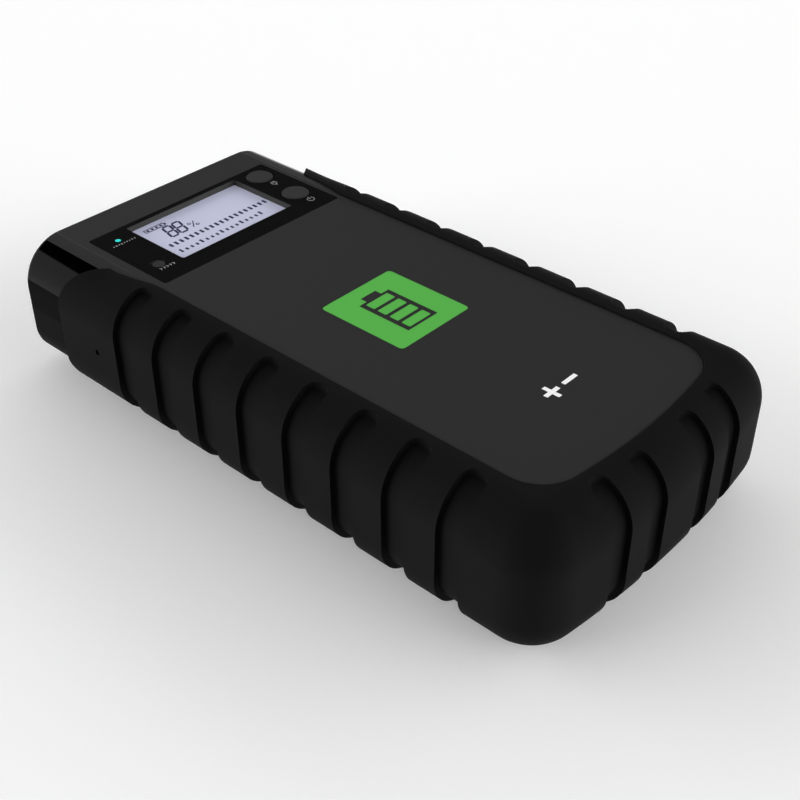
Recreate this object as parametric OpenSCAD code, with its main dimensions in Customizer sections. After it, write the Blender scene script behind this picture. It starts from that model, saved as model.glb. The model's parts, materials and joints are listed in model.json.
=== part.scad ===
// Jump starter pack: a lithium battery pack in a hard two-part housing with a slotted rubber boot.
// +X right, +Y towards the display end, +Z up. The origin is under the middle, on the surface it stands on.

/* [Body] */
// Length over the rubber boot
body_l = 192.2; // [190:0.2:196]
// Width over the rubber boot
body_w = 100.4; // [99.8:0.2:102]
// Height of the flat top panel
panel_z = 39.5; // [39.3:0.1:40.5]
// Plan radius of the boot's near corners
corner_r = 14; // [13.8:0.2:15]
// Plan radius of the bowed near end
end_r = 300; // [260:20:400]

/* [Housing] */
// How far the boot stands proud of the bare housing at the sides
boot_proud = 2; // [1.8:0.1:2.2]
// How far the housing is let back under the boot
rebate = 1.5; // [1.4:0.1:1.6]
// Wall of the housing under the boot
wall = 2.2; // [1.8:0.1:2.4]
// Height of the parting line between the two shells
split_z = 20; // [19:0.5:21]
// Radius of the far end's edge
edge_r = 1.8; // [1:0.2:2.4]
// Half width of the flat top panel inside the boot's lip
panel_hw = 35.7; // [35:0.1:36.5]
// Radius of the top panel's near corners
panel_r = 11; // [9:0.5:11.5]

/* [Boot] */
// Width of a slot in the long sides
slot_w = 7; // [6:0.1:7.4]
// Width of a slot in the near end
end_slot_w = 6.2; // [5.4:0.1:6.6]
// Depth of a slot
slot_d = 1.65; // [1:0.05:1.7]
// Slots in each long side
side_slots = 8; // [3:1:8]
// Spacing of the slots along the sides
slot_pitch = 16.45; // [15.5:0.05:16.5]
// Distance from the far end to the first slot's middle
first_slot = 47.1; // [46.5:0.1:48]
// Length of the side that the boot leaves bare at the far end
bare_l = 19; // [18:0.1:20]

/* [Display] */
// Width of the gloss bezel
bezel_w = 67.4; // [66:0.2:68]
// Length of the gloss bezel
bezel_l = 34.4; // [34:0.2:35]
// Width of the display window
window_w = 42.4; // [40:0.2:43]
// Length of the display window
window_l = 25.8; // [24:0.2:26.4]

/* [Buttons] */
// Diameter of the large buttons
button_d = 8.4; // [7.6:0.2:8.6]
// Diameter of the boost button
boost_d = 4; // [3.6:0.2:4.4]
// Free travel of a button
button_travel = 0.4; // [0.3:0.05:0.45]

/* [Battery] */
// Width of a pouch cell
cell_w = 70; // [64:1:70]
// Length of a pouch cell
cell_l = 116; // [104:1:116]
// Thickness of a pouch cell
cell_t = 7.6; // [7:0.1:7.6]

/* [End panel] */
// Width of the cover over the jump socket
cover_w = 32; // [31:0.5:32.5]
// Gap round the cover
cover_gap = 0.3; // [0.25:0.05:0.4]
// Radius of the cover's hinge pin
hinge_r = 0.75; // [0.6:0.05:0.8]

/* [Hidden] */
$fn = 48;

far_y = body_l / 2;
bow_y = end_r - body_l / 2;

// Skins: half width, top fillet radius, height of its centre, bottom fillet radius, height of its centre
boot_skin = [body_w / 2, 13, panel_z - 12.5, 12.2, 12.2];
case_skin = [body_w / 2 - boot_proud, 13.5, panel_z - 13.5, 10.4, 12.4];
case_bottom_z = case_skin[4] - case_skin[3];
cavity_inset = rebate + wall;
cavity_floor_z = case_bottom_z + cavity_inset;
tongue_inset = rebate + 1.2;
ceiling_z = panel_z - 1.9;
end_wall = 3;
reach = 60;
over = 0.5;
hair = 0.03;
blend = 0.6;
blend_a = 0.2;

// Top panel and underside: the radii of their bowed near edges, which share one centre
panel_bow_r = 178;
panel_bow_y = panel_bow_r - far_y + 12;
base_hw = 33;
base_r = 10;
base_bow_r = 172.6;

// Boot
slot_apex = 2.8;
end_slots_x = [10.3, 23.8];
// Sweep of the boot's far edge in side view: length, height and the power of its superellipse
sweep_l = 12;
sweep_h = 11;
sweep_n = 2.3;
// Tail of bare housing between the panel and the boot's lip: length past the sweep and width
tail_l = 15.5;
tail_w = 2.5;
pin_hole_y = 61.1;
pin_hole_z = 19.7;
pin_hole_r = 0.5;
pin_hole_depth = 1.6;

// Display stack
bezel_t = 0.8;
bezel_x = 0.4;
bezel_y = far_y - 30.2;
bezel_z = panel_z - bezel_t;
bezel_r = 0.8;
window_x = 0.1;
window_y = far_y - 27.5;
glass_z = panel_z - 2;
glass_t = 1.2;
glass_w = 44.4;
glass_l = 27.9;
board_top_z = panel_z - 5.9;
board_t = 1.2;
board_w = 70.4;
board_l = 37.5;
board_y = far_y - 29.85;
display_screw_x = 33;
display_screw_y = [far_y - 13.6, far_y - 46.1];

// Buttons: [x, y]
function_at = [27.8, far_y - 19.2];
power_at = [27.8, far_y - 35.2];
boost_at = [-27.5, far_y - 37.4];
led_at = [-27.1, far_y - 18.7];
button_gap = 0.3;
flange_t = 0.8;
flange_w = 0.6;
button_under_z = panel_z - 2.1;
plunger_r = 1.7;
switch_w = 6;
switch_top_z = panel_z - 2.9;
led_r = 1;

// Screws: [x, y]
screw_at = [for (side = [-1, 1]) for (y = [-62, 11, 84]) [side * 40, y]];
boss_r = 3.4;
screw_r = 1.25;
screw_head_r = 2.3;
screw_head_z = 6.5;

// End panel
panel_hole_hw = 40;
panel_hole_z = [10, 32];
panel_front_y = far_y - 0.4;
panel_back_y = far_y - end_wall - 1.6;
port_z = 21;
socket_x = -19.5;
socket_w = 30;
socket_h = 17;
socket_l = 20;
pocket_w = 27;
pocket_h = 12.4;
pocket_l = 17;
contact_gap = 13;
contact_r = 2.5;
cover_z = [12, 29.1];
cover_t = 2;
barrel_r = 1.3;
hinge_y = panel_front_y - 1.6;
hinge_bore_r = hinge_r + 0.05;
jack_x = 4.5;
jack_z = 16.5;
jack_r = 3.15;
usb_x = 17.5;
usb_z = [14.6, 23.4];
usb_w = 13.2;
usb_h = 5.8;
usb_l = 14;
torch_x = 32.5;
torch_r = 5.4;

// Battery and main board
cell_y = [43 - cell_l, 43];
cell_z0 = cavity_floor_z + 1;
foam_t = 1;
cell_step = cell_t + foam_t;
tab_y = 47;
tab_w = 8;
main_z = 10;
main_t = 1.6;
main_y = [48.5, 88.5];
main_screw_at = [for (x = [-33.4, 33.4]) for (y = [50.8, 86.2]) [x, y]];
lead_r = 2.2;
negative_x = socket_x - contact_gap / 2;
positive_x = socket_x + contact_gap / 2;
link_x = [10, 22];
fuse_y = [48, 56];
lead_end_y = panel_back_y - pocket_l - 13;

// Quarter of a disc, in the positive quadrant
module quarter(r) {
    intersection() {
        circle(r);
        square(r);
    }
}

// Rectangle with round corners, centred
module rounded(w, l, r) {
    square([w - 2 * r, l], center = true);
    square([w, l - 2 * r], center = true);
    for (x = [-1, 1]) for (y = [-1, 1]) translate([x * (w / 2 - r), y * (l / 2 - r)]) circle(r);
}

// Plan with straight sides, round near corners and a near end bowed about [0, centre_y]
module bowed_plan(hw, r, near_r, centre_y, far) {
    cx = hw - r;
    cy = centre_y - sqrt(pow(near_r - r, 2) - cx * cx);
    bow = asin(cx / (near_r - r));
    wedge = near_r + 5;
    translate([-hw, cy]) square([2 * hw, far - cy]);
    for (side = [-1, 1]) translate([side * cx, cy]) circle(r);
    translate([0, centre_y]) intersection() {
        circle(near_r, $fn = 180);
        polygon([[0, 0], [-wedge * sin(bow), -wedge * cos(bow)], [wedge * sin(bow), -wedge * cos(bow)]]);
    }
}

// Plan of the housing, at a distance inside its bare skin
module case_plan(inset, far) {
    bowed_plan(case_skin[0] - inset, corner_r - inset, end_r - boot_proud - inset, bow_y, far);
}

// Cross-section of a skin beside one corner's axis; x runs outwards from that axis
module half_section(skin, inset, from) {
    out = corner_r - inset;
    top_r = skin[1] - inset;
    low_r = skin[3] - inset;
    translate([from, skin[4] - low_r]) square([out - low_r - from, low_r]);
    translate([from, skin[4]]) square([out - from, skin[2] - skin[4]]);
    translate([from, skin[2]]) square([out - top_r - from, top_r]);
    translate([out - top_r, skin[2]]) quarter(top_r);
    translate([out - low_r, skin[4]]) mirror([0, 1]) quarter(low_r);
}

// Solid inside a skin: straight sides, revolved near corners and a bowed near end. The end lies one hair
// inside the sides and the corners two, and each runs a little past the tangent planes, so no two surfaces
// coincide.
module body(skin, inset, far) {
    corner_x = skin[0] - corner_r;
    axis_r = end_r - body_w / 2 + corner_x;
    bow = asin(corner_x / axis_r);
    corner_y = bow_y - sqrt(axis_r * axis_r - corner_x * corner_x);
    translate([0, far, 0]) rotate([90, 0, 0]) linear_extrude(far - corner_y + blend)
        for (side = [0, 1]) mirror([side, 0]) translate([corner_x, 0]) half_section(skin, inset, -corner_x);
    for (side = [0, 1]) mirror([side, 0, 0]) translate([corner_x, corner_y, 0])
        rotate([0, 0, bow - 91]) rotate_extrude(angle = 92 - bow) half_section(skin, inset + 2 * hair, 0);
    translate([0, bow_y, 0]) rotate([0, 0, -90 - bow - blend_a])
        rotate_extrude(angle = 2 * (bow + blend_a), $fn = 180)
            translate([axis_r, 0]) half_section(skin, inset + hair, -6);
}

// Outline of the far end's round-over: a flat run and then a quarter round
module rim(run) {
    square([run, edge_r]);
    translate([run, 0]) quarter(edge_r);
}

// The far end's last slice, with its edge rounded all the way round
module far_cap(skin) {
    top_x = skin[0] - skin[1];
    low_x = skin[0] - skin[3];
    tall = skin[2] - skin[4];
    translate([0, far_y - edge_r, 0]) for (side = [0, 1]) mirror([side, 0, 0]) {
        translate([top_x, 0, skin[2]]) rotate([-90, 0, 0]) rotate([0, 0, -90])
            rotate_extrude(angle = 90) rim(skin[1] - edge_r);
        translate([low_x, 0, skin[4]]) rotate([-90, 0, 0])
            rotate_extrude(angle = 90) rim(skin[3] - edge_r);
        translate([0, 0, skin[4]]) linear_extrude(tall) rim(skin[0] - edge_r);
        translate([top_x, 0, skin[4]]) rotate([0, -90, 0]) linear_extrude(top_x)
            rim(tall + skin[1] - edge_r);
        translate([low_x, 0, skin[2]]) mirror([0, 0, 1]) rotate([0, -90, 0]) linear_extrude(low_x)
            rim(tall + skin[3] - edge_r);
    }
}

// Half width of the bare tail beside the panel, at a share of its length
function tail_x(share) = panel_hw + tail_w * cos(90 * share);

// Swept corner of the boot's far edge over a round-over of radius r about the origin: a prism that looks
// along the round-over's diagonal, so that the edge stays square to the boot's skin
module swept_corner(r) {
    side_y = far_y - bare_l;
    edge = [for (a = [0:7.5:90]) let (v = r - sweep_h * (1 - pow(sin(a), 2 / sweep_n)))
        [(sqrt(r * r - v * v) - v) / sqrt(2), side_y - sweep_l * (1 - pow(cos(a), 2 / sweep_n))]];
    rotate([0, 45, 0]) translate([0, 0, -2]) linear_extrude(r + 5)
        polygon(concat(edge, [[edge[len(edge) - 1][0], side_y + 1], [edge[0][0], side_y + 1]]));
}

// Far end that the boot leaves bare, with its swept corners and a tail on either side of the panel
module bare_zone() {
    side_y = far_y - bare_l;
    sweep_y = side_y - sweep_l;
    low_x = boot_skin[0] - boot_skin[3];
    low_hw = low_x + over;
    translate([-reach, side_y, -5]) cube([2 * reach, bare_l + 5, panel_z + 10]);
    for (side = [0, 1]) mirror([side, 0, 0]) {
        translate([boot_skin[0] - boot_skin[1], 0, boot_skin[2]]) swept_corner(boot_skin[1]);
        translate([low_x, 0, boot_skin[4]]) mirror([0, 0, 1]) swept_corner(boot_skin[3]);
    }
    translate([-low_hw, sweep_y, -over]) cube([2 * low_hw, sweep_l + 1, split_z]);
    tail = [for (i = [0:8]) [tail_x(i / 8), sweep_y - tail_l * i / 8]];
    other = [for (i = [8:-1:0]) [-tail[i][0], tail[i][1]]];
    translate([0, 0, split_z]) linear_extrude(panel_z)
        polygon(concat([[tail[0][0], side_y + 1]], tail, other, [[-tail[0][0], side_y + 1]]));
}

module panel_outline(grow, far) {
    bowed_plan(panel_hw + grow, panel_r + grow, panel_bow_r + grow, panel_bow_y, far);
}

module base_outline(grow, far) {
    bowed_plan(base_hw + grow, base_r + grow, base_bow_r + grow, panel_bow_y, far);
}

// Outside of the closed housing: let back under the boot, full size where it is bare
module case_solid() {
    body(case_skin, rebate, far_y - edge_r);
    intersection() {
        union() {
            body(case_skin, 0, far_y - edge_r);
            far_cap(case_skin);
        }
        bare_zone();
    }
    translate([0, 0, split_z]) linear_extrude(panel_z - split_z) panel_outline(0, far_y - edge_r);
    translate([0, 0, case_bottom_z]) linear_extrude(split_z - case_bottom_z)
        base_outline(0, far_y - edge_r);
}

module cavity() {
    body(case_skin, cavity_inset, far_y - end_wall);
    translate([0, 0, split_z]) linear_extrude(ceiling_z - split_z) panel_outline(-3, far_y - end_wall - 4);
}

module end_opening() {
    translate([0, far_y - end_wall - over, (panel_hole_z[0] + panel_hole_z[1]) / 2]) rotate([-90, 0, 0])
        linear_extrude(end_wall + 2 * over)
            rounded(2 * panel_hole_hw, panel_hole_z[1] - panel_hole_z[0], 4);
}

module lower_housing() color("dimgray") difference() {
    union() {
        difference() {
            intersection() {
                case_solid();
                translate([-reach, -far_y, 0]) cube([2 * reach, body_l, split_z]);
            }
            cavity();
            end_opening();
        }
        // Tongue that the upper shell's groove takes
        translate([0, 0, split_z - 1]) linear_extrude(2.2) difference() {
            case_plan(tongue_inset, far_y - 12);
            case_plan(tongue_inset + 1.2, far_y - 12 + over);
        }
        for (at = screw_at) translate([at[0], at[1], 4.5]) cylinder(h = split_z - 4.5, r = boss_r);
        // Ribs that hold the cells, and pads under the main board
        for (y = [cell_y[0] - 2.2, cell_y[1] + 1]) translate([-24, y, cavity_floor_z - over])
            cube([48, 1.2, 4.5]);
        for (at = main_screw_at) translate([at[0], at[1], cavity_floor_z - over])
            cylinder(h = main_z - main_t - cavity_floor_z + over, r = 2);
        // Pedestal under the jump socket
        translate([socket_x - 14, panel_back_y - 2.2, cavity_floor_z - over])
            cube([28, 2, port_z - socket_h / 2 - cavity_floor_z + over]);
    }
    for (at = screw_at) translate([at[0], at[1], 0]) {
        cylinder(h = split_z + over, r = screw_r + 0.25);
        cylinder(h = screw_head_z, r = screw_head_r + 0.3);
    }
    for (at = main_screw_at) translate([at[0], at[1], cavity_floor_z - 0.7]) cylinder(h = 5, r = 0.95);
}

module upper_housing() color("#333336") difference() {
    union() {
        difference() {
            intersection() {
                case_solid();
                translate([-reach, -far_y, split_z]) cube([2 * reach, body_l, panel_z]);
            }
            cavity();
            end_opening();
        }
        for (at = screw_at) intersection() {
            translate([at[0], at[1], split_z]) cylinder(h = 14, r = boss_r);
            body(case_skin, rebate + 1, far_y - 1);
        }
        for (x = [-1, 1]) for (y = display_screw_y)
            translate([x * display_screw_x, y, board_top_z])
                cylinder(h = ceiling_z - board_top_z + over, r = 1.9);
        // Rib that holds the jump socket down
        translate([socket_x - 12, board_y + board_l / 2 + 0.8, port_z + socket_h / 2])
            cube([24, 1.6, ceiling_z - port_z - socket_h / 2 + over]);
    }
    // Groove for the lower shell's tongue
    translate([0, 0, split_z - over]) linear_extrude(1.4 + over) difference() {
        case_plan(tongue_inset - 0.1, far_y - 12 + over);
        case_plan(cavity_inset + 2, far_y - 12);
        for (at = screw_at) translate(at) circle(boss_r);
    }
    for (at = screw_at) translate([at[0], at[1], split_z - over]) cylinder(h = 12, r = screw_r + 0.05);
    for (x = [-1, 1]) for (y = display_screw_y)
        translate([x * display_screw_x, y, board_top_z - over]) cylinder(h = 3.6, r = 0.8);
    translate([bezel_x, bezel_y, bezel_z]) linear_extrude(bezel_t + over)
        rounded(bezel_w + 0.2, bezel_l + 0.2, bezel_r + 0.1);
    translate([window_x, window_y, ceiling_z - over]) linear_extrude(bezel_t + 2.4)
        rounded(glass_w, glass_l - 0.1, 1);
    for (at = [function_at, power_at]) translate([at[0], at[1], ceiling_z - over])
        cylinder(h = 3, r = button_d / 2 + flange_w + 0.3);
    translate([boost_at[0], boost_at[1], ceiling_z - over])
        cylinder(h = 3, r = boost_d / 2 + flange_w + 0.3);
    translate([led_at[0], led_at[1], ceiling_z - over]) cylinder(h = 3, r = led_r + 0.05);
}

// Upright slot with a round top, cut from above through the boot's wall; it points to +X
module slot_plan(w) {
    circle(w / 2);
    translate([0, -w / 2]) square([reach / 2, w]);
}

module boot_slots() {
    side_x = panel_hw + slot_apex + slot_w / 2;
    end_reach = panel_bow_r + slot_apex + end_slot_w / 2;
    difference() {
        translate([0, 0, -over]) linear_extrude(panel_z + 2) {
            for (side = [0, 1]) mirror([side, 0]) for (i = [0:side_slots - 1])
                translate([side_x, far_y - first_slot - i * slot_pitch]) slot_plan(slot_w);
            for (side = [-1, 1]) for (x = end_slots_x)
                translate([side * x, panel_bow_y - sqrt(end_reach * end_reach - x * x)]) rotate(-90)
                    slot_plan(end_slot_w);
        }
        body(boot_skin, slot_d, far_y + 1);
    }
}

module rubber_boot() color("#1c1c1c") difference() {
    body(boot_skin, 0, far_y);
    body(case_skin, rebate, far_y + 1);
    translate([0, 0, split_z]) linear_extrude(panel_z) panel_outline(0.15, far_y + 1);
    translate([0, 0, -over]) linear_extrude(split_z) base_outline(0.15, far_y + 1);
    bare_zone();
    boot_slots();
    translate([-reach, pin_hole_y, pin_hole_z]) rotate([0, 90, 0])
        cylinder(h = reach - body_w / 2 + pin_hole_depth, r = pin_hole_r);
}

module housing_screws() color("silver") for (at = screw_at) translate([at[0], at[1], screw_head_z]) {
    cylinder(h = 22, r = screw_r);
    translate([0, 0, -1.8]) difference() {
        cylinder(h = 1.8, r = screw_head_r);
        for (a = [0, 90]) rotate(a) translate([-1.4, -0.3, -over]) cube([2.8, 0.6, 1.2 + over]);
    }
}

module display_bezel() color("#0b0b0c") translate([0, 0, bezel_z]) linear_extrude(bezel_t) difference() {
    translate([bezel_x, bezel_y]) rounded(bezel_w, bezel_l, bezel_r);
    translate([window_x, window_y]) rounded(window_w, window_l, 0.8);
    translate(function_at) circle(button_d / 2 + button_gap);
    translate(power_at) circle(button_d / 2 + button_gap);
    translate(boost_at) circle(boost_d / 2 + button_gap);
    translate(led_at) circle(led_r + 0.05);
}

module lcd_frame() color("#414140") translate([window_x, window_y, 0]) difference() {
    union() {
        translate([0, 0, board_top_z]) linear_extrude(glass_z - 1 - board_top_z) rounded(46.6, 30.1, 1.2);
        translate([0, 0, glass_z - 1 - over]) linear_extrude(1 + over) rounded(45.2, 28.7, 1);
        translate([0, 0, glass_z - over]) linear_extrude(bezel_z - glass_z + over) rounded(44, 27.4, 1);
    }
    translate([0, 0, glass_z - over]) linear_extrude(panel_z) rounded(window_w, window_l, 0.6);
    translate([0, 0, board_top_z - over]) linear_extrude(glass_z - board_top_z + over)
        square([glass_w + 0.1, glass_l + 0.1], center = true);
}

module lcd_panel() color("#c8cbe1") translate([window_x, window_y, glass_z - glass_t])
    linear_extrude(glass_t) square([glass_w, glass_l], center = true);

module lcd_backlight() color("white") translate([window_x, window_y, board_top_z])
    linear_extrude(glass_z - glass_t - board_top_z) square([glass_w, glass_l], center = true);

module display_board() color("darkgreen") translate([0, board_y, board_top_z - board_t])
    linear_extrude(board_t) difference() {
        rounded(board_w, board_l, 2);
        for (x = [-1, 1]) for (y = display_screw_y)
            translate([x * display_screw_x, y - board_y]) circle(0.9);
    }

module display_screws() color("silver") for (x = [-1, 1]) for (y = display_screw_y)
    translate([x * display_screw_x, y, board_top_z - board_t - 1.1]) {
        cylinder(h = 1.1, r = 1.6);
        cylinder(h = 4.8, r = 0.75);
    }

// Cap with a flange that keeps it behind the bezel; its top stands at the given height
module button(d, top) {
    translate([0, 0, button_under_z]) cylinder(h = top - button_under_z - 0.25, r = d / 2);
    translate([0, 0, top - 0.25]) cylinder(h = 0.25, r1 = d / 2, r2 = d / 2 - 0.2);
    translate([0, 0, button_under_z]) cylinder(h = flange_t, r = d / 2 + flange_w);
}

module power_button() color("#3a3a3c") translate(power_at) button(button_d, panel_z + 0.15);

module function_button() color("#3a3a3c") translate(function_at) button(button_d, panel_z + 0.15);

module boost_button() color("#3a3a3c") translate(boost_at) button(boost_d, panel_z - 0.25);

// Switch plunger: it carries the button and goes down into the switch
module plunger() {
    translate([0, 0, switch_top_z - 1]) cylinder(h = button_under_z - switch_top_z + 1, r = plunger_r);
}

module power_plunger() color("black") translate(power_at) plunger();

module function_plunger() color("black") translate(function_at) plunger();

module boost_plunger() color("black") translate(boost_at) plunger();

module tact_switches() color("lightgray") for (at = [power_at, function_at, boost_at])
    translate([at[0], at[1], board_top_z]) difference() {
        linear_extrude(switch_top_z - board_top_z) square(switch_w, center = true);
        translate([0, 0, switch_top_z - board_top_z - 1 - button_travel - 0.3])
            cylinder(h = 3, r = plunger_r + 0.05);
    }

module charge_light_pipe() color("#40e0d0") translate([led_at[0], led_at[1], 0]) {
    translate([0, 0, board_top_z + 1.1]) cylinder(h = panel_z - board_top_z - 1.1, r = led_r);
    translate([0, 0, board_top_z + 1.1]) cylinder(h = 1.4, r = led_r + 0.8);
}

module charge_led() color("ivory") translate([led_at[0] - 1.6, led_at[1] - 1.1, board_top_z])
    cube([3.2, 2.2, 1]);

// Slab in the XZ plane with round corners, from y back to y - depth
module upright(x, z, w, h, r, y, depth) {
    translate([x, y - depth, z]) rotate([-90, 0, 0]) linear_extrude(depth) rounded(w, h, r);
}

// Round bar along Y, from y back to y - depth
module bar(x, z, r, y, depth) {
    translate([x, y - depth, z]) rotate([-90, 0, 0]) cylinder(h = depth, r = r);
}

module end_panel() color("#171718") difference() {
    union() {
        upright(0, port_z, 2 * panel_hole_hw - 0.2, panel_hole_z[1] - panel_hole_z[0] - 0.2, 3.9,
                panel_front_y, panel_front_y - far_y + end_wall);
        upright(0, port_z, 2 * panel_hole_hw + 3, panel_hole_z[1] - panel_hole_z[0] + 3, 5,
                far_y - end_wall, far_y - end_wall - panel_back_y);
    }
    // Recess of the cover, as deep as its barrel needs
    translate([socket_x - cover_w / 2 - cover_gap, hinge_y - barrel_r - cover_gap, cover_z[0] - cover_gap])
        cube([cover_w + 2 * cover_gap, 10, cover_z[1] + barrel_r + 2 * cover_gap - cover_z[0]]);
    translate([socket_x - cover_w / 2 - 2.1, hinge_y, cover_z[1]]) rotate([0, 90, 0])
        cylinder(h = cover_w + 4.2, r = hinge_r + 0.01);
    upright(socket_x, port_z, pocket_w, pocket_h, 1, panel_front_y, 10);
    bar(jack_x, jack_z, 4, panel_front_y + over, 10);
    for (z = usb_z) upright(usb_x, z, usb_w + 0.2, usb_h + 0.2, 0.6, panel_front_y + over, 10);
    bar(torch_x, port_z, torch_r + 0.1, panel_front_y + over, 10);
}

// Swings up about the pin along its top edge
module socket_cover() color("#1f1f20") difference() {
    union() {
        translate([socket_x - cover_w / 2, panel_front_y - 0.3 - cover_t, cover_z[0]])
            cube([cover_w, cover_t, cover_z[1] - cover_z[0]]);
        translate([socket_x - cover_w / 2, hinge_y, cover_z[1]]) rotate([0, 90, 0])
            cylinder(h = cover_w, r = barrel_r);
        // Finger ridge along the lower edge
        translate([socket_x - 6, panel_front_y - 0.3 - over, cover_z[0] + 0.8]) cube([12, 0.7 + over, 1.4]);
    }
    translate([socket_x - cover_w / 2 - over, hinge_y, cover_z[1]]) rotate([0, 90, 0])
        cylinder(h = cover_w + 2 * over, r = hinge_bore_r);
}

module cover_hinge_pin() color("silver") translate([socket_x - cover_w / 2 - 2, hinge_y, cover_z[1]])
    rotate([0, 90, 0]) cylinder(h = cover_w + 4, r = hinge_r);

module jump_socket() color("#1f4e9c") difference() {
    upright(socket_x, port_z, socket_w, socket_h, 2, panel_back_y, socket_l);
    upright(socket_x, port_z, pocket_w, pocket_h, 1, panel_back_y + over, pocket_l + over);
    for (x = [negative_x, positive_x]) bar(x, port_z, contact_r, panel_back_y, socket_l + over);
}

module jump_contacts() color("gold") for (x = [negative_x, positive_x]) difference() {
    bar(x, port_z, contact_r, panel_back_y - 5, pocket_l + 8);
    bar(x, port_z, 1.4, panel_back_y - 5 + over, 7);
}

module charge_jack() color("#222222") difference() {
    translate([jack_x - 4.75, panel_back_y - 12, main_z]) cube([9.5, 12, 12]);
    bar(jack_x, jack_z, jack_r, panel_back_y + over, 9.5 + over);
}

module charge_jack_pin() color("silver") bar(jack_x, jack_z, 1.05, panel_back_y - 1, 8.5);

// Stamped shell of one outlet, open at both ends
module usb_shell(z) difference() {
    upright(usb_x, z, usb_w, usb_h, 0.5, panel_front_y - 1, usb_l);
    upright(usb_x, z, usb_w - 0.8, usb_h - 0.8, 0.3, panel_front_y - 1 + over, usb_l + 2 * over);
}

module usb_shell_lower() color("silver") usb_shell(usb_z[0]);

module usb_shell_upper() color("silver") usb_shell(usb_z[1]);

module usb_insulator() color("white") {
    translate([usb_x - 6.1, panel_front_y - usb_l - 5, main_z]) cube([12.2, 4, usb_z[1] + 2 - main_z]);
    for (z = usb_z) translate([usb_x - 5.5, panel_front_y - usb_l - 1 - over, z + 0.2])
        cube([11, 10 + over, 1.8]);
}

module torch_reflector() color("silver") translate([torch_x, panel_back_y, port_z]) rotate([90, 0, 0])
    rotate_extrude()
        polygon([[torch_r + 0.6, 0], [torch_r + 0.6, 2], [3.2, 9], [1.5, 9], [1.5, 8], [2.4, 8],
                 [torch_r - 0.4, 1.4], [torch_r - 0.4, 0]]);

module torch_lens() color("aliceblue") bar(torch_x, port_z, torch_r, panel_front_y - 0.3,
                                           panel_front_y - 0.3 - panel_back_y);

module torch_led() color("ivory") {
    bar(torch_x, port_z, 4.2, panel_back_y - 9, 1.2);
    bar(torch_x, port_z, 1.2, panel_back_y - 8, 1 + over);
}

module main_board() color("darkgreen") translate([0, 0, main_z - main_t]) linear_extrude(main_t)
    difference() {
        translate([-35.5, main_y[0]]) square([71, main_y[1] - main_y[0]]);
        for (at = main_screw_at) translate(at) circle(1);
    }

module board_screws() color("silver") for (at = main_screw_at) translate([at[0], at[1], main_z]) {
    cylinder(h = 1.2, r = 1.8);
    translate([0, 0, -4.4]) cylinder(h = 4.4 + over, r = 0.9);
}

module power_transistors() color("#202020") for (x = [-26, -16, -6]) for (y = [53.5, 64])
    translate([x - 4.8, y - 4.2, main_z]) cube([9.6, 8.4, 4.4]);

module heat_sink() color("lightgray") translate([-31, 49, main_z + 4.4]) {
    cube([30, 20, 1.6]);
    for (i = [0:7]) translate([0.2 + i * 4, 0, 1.6]) cube([1.2, 20, 2]);
}

module capacitors() color("#3b3f63") for (x = [8, 19.5, 31]) translate([x, 70.5, main_z]) {
    cylinder(h = 13, r = 4.9);
    cylinder(h = 14, r = 4.2);
}

module inductor() color("#303032") translate([12, 59, main_z]) {
    translate([-5.4, -4.8, 0]) cube([10.8, 9.6, 4.6]);
    cylinder(h = 5.4, r = 4.2);
}

module buzzer() color("#151515") translate([30, 59.8, main_z]) {
    cylinder(h = 5.4, r = 5.6);
    cylinder(h = 5.9, r = 1.2);
}

module board_ribbon() color("ivory") translate([1.8, 53, main_z + 3])
    cube([0.3, 10, board_top_z - board_t - main_z - 6]);

module ribbon_sockets() color("white") for (z = [main_z, board_top_z - board_t - 3])
    translate([0.4, 52, z]) cube([3.1, 12, 3]);

module balance_plug() color("white") {
    translate([6, 50, main_z]) cube([20, 3.2, 8.4]);
    for (x = link_x) translate([x - 0.6, tab_y + 1, main_z + 7]) cube([1.2, 50 - tab_y - 1, 1.2]);
}

// Pouch cell: a flat body, a sealed edge and two tabs at the given places
module pouch(level, tabs) {
    translate([0, 0, cell_z0 + level * cell_step]) {
        linear_extrude(cell_t) translate([0, (cell_y[0] + cell_y[1]) / 2]) rounded(cell_w, cell_l, 3);
        translate([-cell_w / 2 + 2, cell_y[1] - over, cell_t / 2]) cube([cell_w - 4, 2.2 + over, 0.5]);
        for (x = tabs) translate([x - tab_w / 2, cell_y[1], cell_t / 2])
            cube([tab_w, tab_y - cell_y[1], 0.4]);
    }
}

module cell_lower() color("#b9bcc0") pouch(0, [negative_x, link_x[0]]);

module cell_middle() color("#b9bcc0") pouch(1, [link_x[0], link_x[1]]);

module cell_upper() color("#b9bcc0") pouch(2, [positive_x, link_x[1]]);

module cell_foam() color("#4a4a4a") for (i = [0:2]) translate([0, 0, cell_z0 - foam_t + i * cell_step])
    linear_extrude(foam_t) translate([0, (cell_y[0] + cell_y[1]) / 2]) rounded(cell_w - 2, cell_l - 2, 2);

module pack_cushion() color("#5a5a5a") {
    stack_z = cell_z0 + 3 * cell_t + 2 * foam_t;
    translate([0, (cell_y[0] + cell_y[1]) / 2, stack_z]) linear_extrude(ceiling_z - 0.2 - stack_z)
        rounded(56, 100, 4);
}

// Straps across the cell tabs: [place, lowest cell, height]
module bus_bars() color("peru")
    for (strap = [[negative_x, 0, 16.7], [link_x[0], 0, 12.6], [link_x[1], 1, 12.6], [positive_x, 1, 12.6]])
        translate([strap[0] - tab_w / 2, tab_y, cell_z0 + strap[1] * cell_step + 1.6])
            cube([tab_w, 1, strap[2]]);

module fuse_link() color("lightgray") {
    translate([positive_x - 4, fuse_y[0], port_z - 1]) cube([8, fuse_y[1] - fuse_y[0], 2]);
    translate([positive_x - 3, fuse_y[0] + 1, port_z - 2.2]) cube([6, 5, 4.4]);
}

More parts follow.
